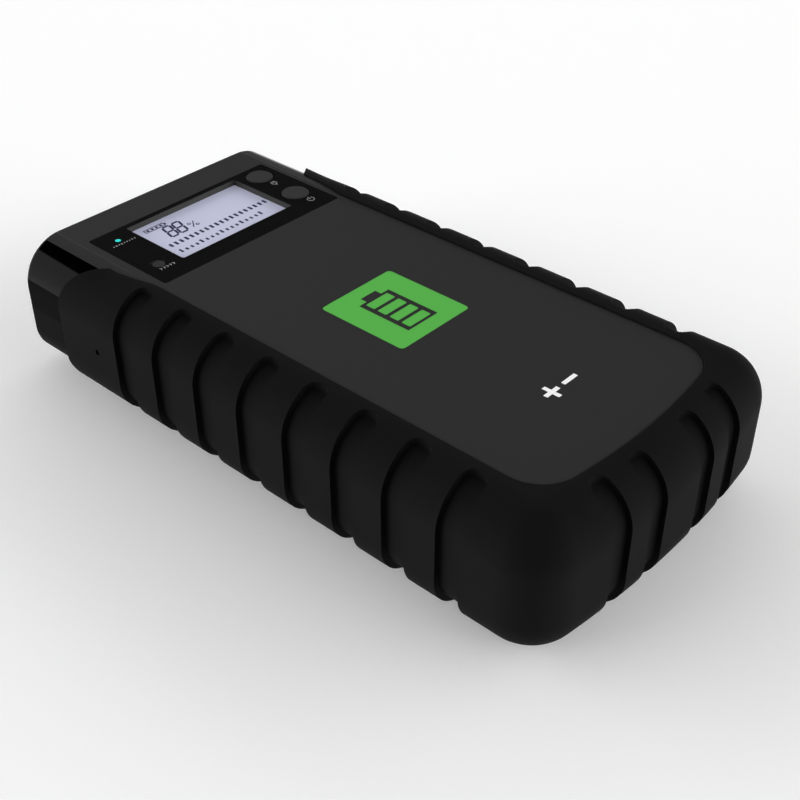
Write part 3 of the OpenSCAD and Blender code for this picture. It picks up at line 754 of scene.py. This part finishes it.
    def slots_at(self, x: Array, y: Array) -> tuple[Array, ...]:
        """Measures how far points lie inside the slots.

        Args:
            x: Places across.
            y: Places along.

        Returns:
            Distance inside the nearest edge, the way inwards in X and Y, whether it is a slot's round end, and how
            far the edge there faces along the slot.
        """
        best = np.full_like(x, self.far_outside)
        way_x, way_y, ahead, round_end = *np.zeros((3, *x.shape)), np.zeros(x.shape, bool)
        slots = [(np.abs(x) - self.slot_x, y - yi, self.slot_width / 2, True) for yi in self.slot_y]
        slots += [(yi - y, x - xi, self.end_slot_width / 2, False)
                  for xi, yi in zip(self.end_slots, self.end_slot_y)]
        for along, across, half, on_side in slots:
            bend = along < 0
            far = np.where(bend, np.hypot(along, across), np.abs(across))
            inside = np.where((y < self.corner_y) | on_side, half - far, self.far_outside)
            nearer = inside > best
            far = np.maximum(far, np.finfo(float).eps)
            in_line = np.where(bend, -along / far, 0.0)
            aside = np.where(bend, -across / far, -np.sign(across))
            step_x, step_y = (in_line * np.sign(x), aside) if on_side else (aside, -in_line)
            best, round_end = np.where(nearer, inside, best), np.where(nearer, bend, round_end)
            way_x, way_y = np.where(nearer, step_x, way_x), np.where(nearer, step_y, way_y)
            ahead = np.where(nearer, in_line, ahead)
        return best, way_x, way_y, round_end, ahead

    def snap(self, x: Array, y: Array) -> tuple[Array, Array]:
        """Returns points with those near a slot's round end moved onto its edge."""
        inside, way_x, way_y, round_end, _ = self.slots_at(x, y)
        step = np.where(round_end, self.slot.shift(inside), 0.0)
        return x + way_x * step, y + way_y * step

    def tip_cut(self, skin: Array, normal: Array) -> Array:
        """Returns how far the skin sinks towards the tips of its upper lips."""
        tip_x = self.panel.half_width + self.tail_width
        away = np.hypot(np.abs(skin[..., 0]) - tip_x, skin[..., 1] - self.tip_y)
        near = np.clip(1.0 - away / self.tip_reach, 0.0, 1.0) ** 2
        return np.where(normal[..., 2] > 0.0, self.tip_drop * near, 0.0)

    def thickness(self, up: Array) -> Array:
        """Returns the boot's thickness where the skin's normal has an upward share."""
        return self.side_thickness - (self.side_thickness - self.top_thickness) * np.clip(up, 0.0, 1.0) ** 2

    # mesh

    def skin(self) -> tuple[Array, Array]:
        """Lays the skin without its slots.

        Returns:
            Points and normals by column and row, from the top panel's edge to the underside's.
        """
        points, normals = [], []
        steps = np.linspace(0.0, 1.0, self.spacing.wall_rows + 2)[1:-1]
        for column in self.columns():
            top, low = self.round_over(column, True), self.round_over(column, False)[:, ::-1]
            foot_y, height = low[1, 0], self.low_r - self.top_axis
            wall = [top[0, -1] + 0 * steps, top[1, -1] + (foot_y - top[1, -1]) * steps, self.top_axis + height * steps]
            x, y, z, out, up = np.hstack([top, [*wall, 1 + 0 * steps, 0 * steps], low])
            nx, ny = self.outward(column, x, y)
            points.append(np.stack([x, y, z], -1))
            normals.append(np.stack([nx * out, ny * out, up], -1))
        return np.array(points), np.array(normals)

    def build(self) -> None:
        """Makes the boot as one closed mesh."""
        skin, normal = self.skin()
        inside, *_, ahead = self.slots_at(skin[..., 0], skin[..., 1])
        sunk, depth = self.tip_cut(skin, normal), self.thickness(normal[..., 2])
        cut = self.slot.cut(inside, ahead) + sunk
        outer = skin - normal * cut[..., None]
        inner = skin - normal * depth[..., None]
        columns, rows = outer.shape[:2]
        kept = sorted({*range(0, rows, self.spacing.inner_step), rows - 1})
        shell, patch = Shell(), self.hole_patch(outer)
        outer_ids = shell.grid(outer, False, patch)
        self.pierce(shell, outer, outer_ids, patch)
        inner_ids = shell.grid(inner[:, kept], True)
        loop = self.rim(shell, outer, normal, depth - sunk, ring_of(outer_ids))
        shell.zip(loop, ring_of(inner_ids), [(columns - 1, columns - 1), (rows - 1, len(kept) - 1)] * 2)
        boot = shell.build("boot_skin", BOOT_RUBBER.material(), smooth=True)
        boot.data.set_sharp_from_angle(angle=math.radians(self.sharp_angle))
        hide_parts("rubber_boot")
        register(boot)

    def rim(self, shell: Shell, outer: Array, normal: Array, thickness: Array, loop: list[int]) -> list[int]:
        """Turns the skin's edge over a small radius and down to the housing.

        Args:
            shell: The boot's mesh so far.
            outer: The skin's grid of points.
            normal: The skin's normals.
            thickness: Height of the rim by column and row.
            loop: Numbers of the points along the skin's edge.

        Returns:
            Numbers of the points along the lowest edge of the rim.
        """
        columns, rows = outer.shape[:2]
        cells = ring_cells(columns, rows)
        towards, down = [], []
        for c, r in cells:
            edge = np.zeros(3)
            if r in (0, rows - 1):
                step = outer[c, r] - outer[c, 1 if r == 0 else rows - 2]
                edge += step / np.linalg.norm(step)
                down.append([0.0, 0.0, -math.copysign(1.0, normal[c, r, 2])])
            else:
                down.append(-normal[c, r])
            if c in (0, columns - 1):
                edge += [0.0, 1.0, 0.0]
            towards.append(edge)
        base, depth = (np.array([grid[cell] for cell in cells]) for grid in (outer, thickness[..., None]))
        levels = [(self.lip_r * math.sin(a), self.lip_r * (1 - math.cos(a))) for a in self.lip_turns]
        levels += [(self.lip_r, depth * 0.5), (self.lip_r, depth)]
        for along, deep in levels:
            ring = shell.add(base + np.array(towards) * along + np.array(down) * deep)
            shell.stitch(loop, ring)
            loop = ring
        return loop

    def hole_patch(self, outer: Array) -> Patch:
        """Returns the columns and rows of quads that the breather hole takes up in the left side."""
        hole = self.hole
        wide, tall = (margin * hole.radius for margin in hole.margins)
        along, down = outer[:outer.shape[0] // 2, outer.shape[1] // 2, 1], outer[0, :, 2]
        first, last = np.nonzero(along > hole.y + wide)[0][-1], np.nonzero(along < hole.y - wide)[0][0]
        top, low = np.nonzero(down > hole.z + tall)[0][-1], np.nonzero(down < hole.z - tall)[0][0]
        return range(int(first), int(last)), range(int(top), int(low))

    def pierce(self, shell: Shell, outer: Array, ids: Array, patch: Patch) -> None:
        """Fills the patch left open in the skin with the blind breather hole.

        Args:
            shell: The boot's mesh so far.
            outer: The skin's grid of points.
            ids: Their numbers.
            patch: Columns and rows of the open quads.
        """
        hole, parts = self.hole, self.hole.parts
        cells = ring_cells(len(patch[0]) + 1, len(patch[1]) + 1)[::-1]
        border = [(patch[0][0] + c, patch[1][0] + r) for c, r in cells]
        turns = [math.atan2(outer[cell][2] - hole.z, outer[cell][1] - hole.y) for cell in border]
        turns = np.unwrap(turns + turns[:1])
        angles = np.interp(np.arange(len(border) * parts) / parts, np.arange(len(turns)), turns)
        mouth = outer[border[0]][0]
        y, z = hole.y + hole.radius * np.cos(angles), hole.z + hole.tall * hole.radius * np.sin(angles)
        rings = [shell.add(np.stack([np.full_like(y, x), y, z], -1)) for x in (mouth, mouth + hole.depth)]
        for k, cell in enumerate(border):
            after = border[(k + 1) % len(border)]
            arc = [rings[0][(k * parts + i) % len(angles)] for i in range(parts, -1, -1)]
            shell.faces.append((int(ids[cell]), int(ids[after]), *arc))
        shell.stitch(*rings)
        shell.faces.append(tuple(rings[1]))


# ---- printed signs

def moved(points: list[Point2], x: float, y: float) -> list[Point2]:
    """Returns an outline moved to a place."""
    return [(x + px, y + py) for px, py in points]


def symmetric(half: list[Point2], x: float = 0.0, y: float = 0.0) -> list[Point2]:
    """Returns the whole outline of a symmetric shape from its left or right half, moved to a place."""
    return moved([*half, *[(-px, py) for px, py in reversed(half)]], x, y)


def rectangle(x: float, y: float, w: float, h: float) -> list[Point2]:
    """Returns the outline of a rectangle round its middle."""
    return [(x - w / 2, y - h / 2), (x + w / 2, y - h / 2), (x + w / 2, y + h / 2), (x - w / 2, y + h / 2)]


def round_box(x: float, y: float, w: float, h: float, r: float, steps: int = 6) -> list[Point2]:
    """Returns the outline of a rectangle with round corners."""
    points = []
    for k, (sx, sy) in enumerate(((1, 1), (-1, 1), (-1, -1), (1, -1))):
        for i in range(steps + 1):
            a = RIGHT_ANGLE * (k + i / steps)
            points.append((x + sx * (w / 2 - r) + r * math.cos(a), y + sy * (h / 2 - r) + r * math.sin(a)))
    return points


def circle(x: float, y: float, r: float, steps: int = 20) -> list[Point2]:
    """Returns a circle's outline."""
    turns = [2 * math.pi * k / steps for k in range(steps)]
    return [(x + r * math.cos(a), y + r * math.sin(a)) for a in turns]


def arc_band(x: float, y: float, r: float, width: float, start: float, end: float, steps: int = 40) -> list[Point2]:
    """Returns the outline of a band along an arc, angles in degrees."""
    angles = [math.radians(start + (end - start) * k / steps) for k in range(steps + 1)]
    outside, inside = [[(x + far * math.cos(a), y + far * math.sin(a)) for a in angles]
                       for far in (r + width / 2, r - width / 2)]
    return outside + inside[::-1]


@dataclass
class Sheet:
    """Flat shapes of one thickness, such as print or display segments. Sizes in millimetres."""

    name: str
    finish: Finish
    slot: str
    z: float
    thickness: float = 0.03
    shapes: list[list[list[Point2]]] = field(default_factory=list)

    def add(self, outline: list[Point2], *holes: list[Point2]) -> None:
        """Adds a shape with its holes, all given counterclockwise."""
        self.shapes.append([outline, *[hole[::-1] for hole in holes]])

    def row(self, count: int, start: Point2, step: float, width: float, heights: Floats, on_feet: bool = False) -> None:
        """Adds a row of bars.

        Args:
            count: Number of bars.
            start: Middle of the first bar, or of its foot.
            step: Way from bar to bar.
            width: Width of each bar.
            heights: Heights of the bars, which repeat.
            on_feet: Whether the bars stand on one line, instead of having their middles on it.
        """
        for k in range(count):
            tall = heights[k % len(heights)]
            rise = tall / 2 if on_feet else 0.0
            self.add(rectangle(start[0] + step * k, start[1] + rise, width, tall))

    def caps(self, loops: list[list[Point2]]) -> list[tuple[int, ...]]:
        """Returns the faces that fill a shape: one face, or triangles where it has holes."""
        flat = [Vector(p) for loop in loops for p in loop]
        if len(loops) == 1:
            return [tuple(range(len(flat)))]
        parts = tessellate_polygon([[Vector((*p, 0.0)) for p in loop] for loop in loops])
        return [(a, b, c) if (flat[b] - flat[a]).cross(flat[c] - flat[a]) > 0 else (c, b, a) for a, b, c in parts]

    def build(self) -> None:
        """Makes the shapes as closed slabs in one mesh."""
        shell = Shell()
        for loops in self.shapes:
            flat = [p for loop in loops for p in loop]
            count = len(flat)
            start = shell.add([(*p, self.z + lift) for lift in (self.thickness, 0.0) for p in flat])[0]
            for cap in self.caps(loops):
                shell.faces.append(tuple(start + i for i in cap))
                shell.faces.append(tuple(start + count + i for i in cap[::-1]))
            for loop in loops:
                n = len(loop)
                for k in range(n):
                    a, b = start + k, start + (k + 1) % n
                    shell.faces.append((a, a + count, b + count, b))
                start += n
        register(shell.build(self.name, self.finish.material()))


@dataclass
class DisplaySigns:
    """Segments on the display and pictograms round it. Sizes in millimetres."""

    glass_z: float
    bezel_z: float
    digit_w: float = 2.6
    digit_h: float = 6.4
    segment: float = 0.75
    segment_gap: float = 0.1
    slant: float = 0.2
    figures: Points = ((-13.2, 70.2), (-9.7, 70.2))
    percent_rings: Points = ((-4.75, 72.8), (-2.95, 70.9))
    percent_radii: Point2 = (0.62, 0.34)
    percent_bar: Points = ((-5.2, 70.2), (-4.8, 70.2), (-2.5, 73.5), (-2.9, 73.5))
    battery: Points = ((-16.9, 77.3), (-9.6, 77.3), (-9.6, 77.9), (-9.1, 77.9), (-9.1, 78.7), (-9.6, 78.7),
                       (-9.6, 79.3), (-16.9, 79.3))
    battery_inside: Points = ((-16.6, 77.6), (-9.9, 77.6), (-9.9, 79.0), (-16.6, 79.0))
    line: float = 0.2
    power_at: Point2 = (28.0, 54.4)
    power_r: float = 1.1
    power_arc: Point2 = (125.0, 415.0)
    power_bar_rise: float = 0.8
    power_bar: float = 1.3
    plug_at: Point2 = (27.9, 70.4)
    plug: Points = ((-0.95, 0.45), (-0.95, -0.35), (-0.45, -0.95))
    plug_inside: Points = ((-0.75, 0.25), (-0.75, -0.3), (-0.37, -0.75))
    pin_at: Point2 = (0.45, 0.85)
    pin: float = 0.7
    cord_drop: float = 1.3
    cord: float = 0.6
    chevron: Points = ((-0.4, -0.5), (-0.15, -0.5), (0.2, 0.0), (-0.15, 0.5), (-0.4, 0.5), (-0.05, 0.0))
    chevron_at: Point2 = (-29.0, 55.6)
    chevron_step: float = 1.12
    chevron_count: int = 5

    def digit(self, sheet: Sheet, x: float, y: float) -> None:
        """Adds the seven segments of one figure, with its lower left corner at a point."""
        w, h, t, gap = self.digit_w, self.digit_h, self.segment / 2, self.segment_gap
        bars = [[(gap, base), (t, base - t), (w - t, base - t), (w - gap, base), (w - t, base + t), (t, base + t)]
                for base in (0.0, h / 2, h)]
        for side in (0.0, w):
            for low, high in ((0.0, h / 2), (h / 2, h)):
                bars.append([(side, low + gap), (side + t, low + t + gap), (side + t, high - t - gap),
                             (side, high - gap), (side - t, high - t - gap), (side - t, low + t + gap)])
        for bar in bars:
            sheet.add([(x + px + py * self.slant, y + py) for px, py in bar])

    def segments(self) -> None:
        """Makes what the display shows: a charge figure, a battery sign and two rows of level marks."""
        sheet = Sheet("display_segments", SEGMENT_INK, "display_glass", self.glass_z)
        for at in self.figures:
            self.digit(sheet, *at)
        for at in self.percent_rings:
            sheet.add(*[circle(*at, r) for r in self.percent_radii])
        sheet.add([*self.percent_bar])
        sheet.add([*self.battery], [*self.battery_inside])
        sheet.row(4, start=(-15.7, 78.3), step=1.6, width=0.85, heights=(0.9,))
        sheet.row(20, start=(-16.6, 66.6), step=1.92, width=0.85, heights=(1.9,))
        sheet.row(17, start=(-16.6, 61.2), step=1.92, width=0.75, heights=(1.9, 1.3, 1.3, 1.3), on_feet=True)
        sheet.build()

    def pictograms(self) -> None:
        """Makes the small pale signs beside the buttons and the charge light."""
        sheet = Sheet("bezel_signs", PRINT_GREY, "white_plastic", self.bezel_z)
        x, y = self.power_at
        sheet.add(arc_band(x, y, self.power_r, self.line, *self.power_arc))
        sheet.add(rectangle(x, y + self.power_bar_rise, self.line, self.power_bar))
        x, y = self.plug_at
        sheet.add(*[symmetric([*half], x, y) for half in (self.plug, self.plug_inside)])
        aside, rise = self.pin_at
        sheet.row(2, start=(x - aside, y + rise), step=2 * aside, width=self.line, heights=(self.pin,))
        sheet.add(rectangle(x, y - self.cord_drop, self.line, self.cord))
        sheet.row(9, start=(-30.3, 75.0), step=0.92, width=0.3, heights=(0.45, 0.62))
        x, y = self.chevron_at
        for k in range(self.chevron_count):
            sheet.add(moved([*self.chevron], x + self.chevron_step * k, y))
        sheet.build()


@dataclass
class PanelSigns:
    """Generic charge sign and polarity marks on the top panel. Sizes in millimetres."""

    panel_z: float
    sign_at: Point2 = (-0.8, -6.2)
    sign_size: Point2 = (26.6, 28.8)
    sign_r: float = 1.2
    battery_size: Point2 = (11.5, 17.5)
    battery_drop: float = 1.0
    terminal: float = 2.2
    cell_size: Point2 = (8.3, 3.0)
    cell_r: float = 0.4
    cell_rises: Floats = (-7.3, -3.1, 1.1, 5.3)
    marks_at: Point2 = (0.0, -59.4)
    marks_aside: float = 3.6
    arm: float = 2.6
    half_line: float = 0.62

    def build(self) -> None:
        """Makes the green battery sign and the white plus and minus."""
        x, y = self.sign_at
        w, h = (size / 2 for size in self.battery_size)
        green = Sheet("charge_sign", SIGN_GREEN, "panel_plastic", self.panel_z)
        battery = symmetric([(w, -h), (w, h), (w / 2, h), (w / 2, h + self.terminal)], x, y - self.battery_drop)
        green.add(round_box(x, y, *self.sign_size, self.sign_r), battery)
        for rise in self.cell_rises:
            green.add(round_box(x, y + rise, *self.cell_size, self.cell_r))
        green.build()
        x, y = self.marks_at
        arm, t = self.arm, self.half_line
        # The white marks' finish carries a small painted glow on top of their white print colour.
        white = Sheet("polarity_marks", SIGN_WHITE, "white_plastic", self.panel_z)
        white.add(symmetric([(t, -arm), (t, -t), (arm, -t), (arm, t), (t, t), (t, arm)], x - self.marks_aside, y))
        white.add(rectangle(x + self.marks_aside, y, 2 * arm, 2 * t))
        white.build()


# ---- studio

@dataclass
class Studio:
    """Floor, soft light and camera. Sizes in metres, sides in degrees from +X."""

    eye: Triple = (-0.2122, -0.1978, 0.2195)
    right: Triple = (0.6684, -0.7438, 0.0)
    up: Triple = (0.4411, 0.3964, 0.8052)
    lens: float = 57.335
    film: float = 36.0
    clip: Point2 = (0.01, 20.0)
    floor_size: float = 4.0
    floor_z_mm: float = -0.05
    floor_albedo: float = 0.95
    floor_lift: float = 0.15
    wall_side: float = 120.0
    wall_height: float = 0.067
    wall_rise: float = 0.58
    wall_least: float = 0.2
    wall_blur: float = 0.012
    wall_turn: Point2 = (0.2, 0.8)
    wall_greys: Point2 = (0.38, 0.95)
    ceiling_grey: float = 0.003
    band_light: float = 4.2
    band_high: float = 0.545
    band_blur: float = 0.05
    below_blur: float = 0.1
    below_share: float = 0.8
    ceiling_light: float = 0.1
    gap_side: float = -143.0
    gap_half: float = 50.0
    gap_blur: float = 0.1
    gap_share: float = 0.05
    back_turn: Point2 = (-0.8, -0.3)
    back_share: float = 0.6
    least_level: float = 0.01
    lamp_at: Triple = (0.35, 0.3, 1.0)
    lamp_size: float = 1.0
    lamp_power: float = 1.0

    def camera(self) -> None:
        """Makes the camera and gives it to the scene."""
        data = bpy.data.cameras.new("camera")
        data.lens, data.sensor_width = self.lens, self.film
        data.clip_start, data.clip_end = self.clip
        right = Vector(self.right).normalized()
        up = Vector(self.up)
        up = (up - right * up.dot(right)).normalized()
        turn = Matrix((right, up, right.cross(up))).transposed().to_4x4()
        camera = new_object("camera", data)
        camera.matrix_world = Matrix.Translation(self.eye) @ turn
        bpy.context.scene.camera = camera

    def floor(self) -> None:
        """Makes the pale floor, which shows white to the camera and in reflections but keeps its shadow."""
        mat = bpy.data.materials.new("studio_floor")
        mat.use_nodes = True
        wires, nodes = Wiring(mat.node_tree), mat.node_tree.nodes
        shader = nodes["Principled BSDF"]
        shader.inputs["Base Color"].default_value = (*grey(self.floor_albedo), 1.0)
        shader.inputs["Roughness"].default_value = 1.0
        shader.inputs["Specular IOR Level"].default_value = 0.0
        path, glow, total = (wires.node(kind) for kind in ("LightPath", "Emission", "AddShader"))
        seen = path.outputs["Is Camera Ray"]
        for name in ("Is Glossy Ray", "Is Transmission Ray"):
            seen = wires.calc("MAXIMUM", seen, path.outputs[name])
        wires.put(wires.times(seen, self.floor_lift), glow.inputs["Strength"])
        wires.put(shader.outputs[0], total.inputs[0])
        wires.put(glow.outputs[0], total.inputs[1])
        wires.put(total.outputs[0], nodes["Material Output"].inputs["Surface"])
        half = self.floor_size / 2 / MM
        corners = [(x * half, y * half, self.floor_z_mm) for x, y in ((-1, -1), (1, -1), (1, 1), (-1, 1))]
        floor = Shell(corners, [(0, 1, 2, 3)]).build("studio_floor", mat)
        floor.visible_diffuse = False

    def toward(self, wires: Wiring, way: tuple[Socket, ...], side: float) -> Socket:
        """Adds the part of a direction that points to a side."""
        turn = math.radians(side)
        return wires.calc("ADD", wires.times(way[0], math.cos(turn)), wires.times(way[1], math.sin(turn)))

    def mirrored(self, wires: Wiring, way: tuple[Socket, ...]) -> Socket:
        """Adds what gloss mirrors: a pale wall round the horizon, under a dark ceiling.

        Args:
            wires: The world's node tree.
            way: X, Y and Z of the direction.

        Returns:
            The grey there. The wall is higher and brighter on one side.
        """
        toward = self.toward(wires, way, self.wall_side)
        high = wires.calc("ADD", wires.times(toward, self.wall_rise), self.wall_height)
        high = wires.calc("MAXIMUM", high, self.wall_least)
        wall = wires.ramp(wires.calc("SUBTRACT", way[2], high), self.wall_blur, -self.wall_blur)
        bright = wires.ramp(toward, *self.wall_turn, *self.wall_greys)
        return wires.calc("MAXIMUM", wires.times(wall, bright), self.ceiling_grey)

    def shed(self, wires: Wiring, way: tuple[Socket, ...]) -> Socket:
        """Adds the soft light on the pack: a low band round the horizon with a dark gap, under a dim ceiling.

        Args:
            wires: The world's node tree.
            way: X, Y and Z of the direction.

        Returns:
            The strength there.
        """
        level = wires.calc("SQRT", wires.calc("SUBTRACT", 1.0, wires.times(way[2], way[2])))
        level = wires.calc("MAXIMUM", level, self.least_level)
        facing = wires.calc("DIVIDE", self.toward(wires, way, self.gap_side), level)
        band = wires.ramp(way[2], self.band_high + self.band_blur, self.band_high - self.band_blur,
                          self.ceiling_light, self.band_light)
        below = wires.ramp(way[2], -self.below_blur, 0.0, self.below_share, 1.0)
        edge = math.cos(math.radians(self.gap_half))
        gap = wires.ramp(facing, edge + self.gap_blur, edge - self.gap_blur, self.gap_share, 1.0)
        back = wires.ramp(facing, *self.back_turn, self.back_share, 1.0)
        return wires.times(band, below, gap, back)

    def world(self) -> None:
        """Makes the surroundings: white to the camera, a wall for gloss, soft light for the rest."""
        world = bpy.data.worlds.new("studio")
        bpy.context.scene.world = world
        world.use_nodes = True
        wires, background = Wiring(world.node_tree), world.node_tree.nodes["Background"]
        way = wires.split(wires.node("TexCoord").outputs["Generated"])
        path = wires.node("LightPath")
        gloss = wires.calc("MAXIMUM", path.outputs["Is Glossy Ray"], path.outputs["Is Transmission Ray"])
        strength = wires.mix(gloss, self.shed(wires, way), self.mirrored(wires, way), "FLOAT")
        strength = wires.mix(path.outputs["Is Camera Ray"], strength, 1.0, "FLOAT")
        wires.put(strength, background.inputs["Strength"])
        background.inputs["Color"].default_value = (*grey(1.0), 1.0)

    def lamp(self) -> None:
        """Makes a soft square lamp above, which looks at the pack and isn't mirrored in it."""
        data = bpy.data.lights.new("top_lamp", "AREA")
        data.shape, data.size, data.energy = "SQUARE", self.lamp_size, self.lamp_power
        lamp = new_object("top_lamp", data)
        lamp.location = self.lamp_at
        lamp.rotation_euler = (-Vector(self.lamp_at)).to_track_quat("-Z", "Y").to_euler()
        lamp.visible_glossy = False

    def build(self) -> None:
        """Makes the whole studio."""
        bpy.context.scene.view_settings.view_transform = "Standard"
        self.camera()
        self.floor()
        self.world()
        self.lamp()


# ---- the pack

@dataclass
class Pack:
    """The construction model with its finishes, and the pieces that dress it."""

    frame: dict

    def dress_nodes(self) -> None:
        """Gives every construction node the finish of its material slot."""
        slots = {row["node"]: row["material_slot"] for row in self.frame["record"]["subparts"]}
        for name, piece in self.frame["nodes"].items():
            piece.data.materials.clear()
            piece.data.materials.append(SLOT_FINISH[slots[name]].material())
        LOG.info("finishes on %d construction nodes", len(self.frame["nodes"]))

    def boot(self) -> None:
        """Makes the rubber boot round the housing."""
        low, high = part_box("rubber_boot")
        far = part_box("upper_housing")[1].y / MM
        RubberBoot(high.x / MM, low.y / MM, far, high.z / MM).build()

    def signs(self) -> None:
        """Makes the display segments, the pictograms and the panel's signs."""
        glass_z, bezel_z, panel_z = (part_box(node)[1].z / MM for node in ("lcd_panel", "display_bezel", "upper_housing"))
        signs = DisplaySigns(glass_z, bezel_z)
        signs.segments()
        signs.pictograms()
        PanelSigns(panel_z).build()


def main() -> None:
    """Loads the frame, dresses the pack and sets up the studio."""
    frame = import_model()
    pack = Pack(frame)
    Studio().build()
    pack.dress_nodes()
    pack.boot()
    pack.signs()


if __name__ == "__main__":
    logging.basicConfig(level=logging.INFO, format="%(message)s")
    main()
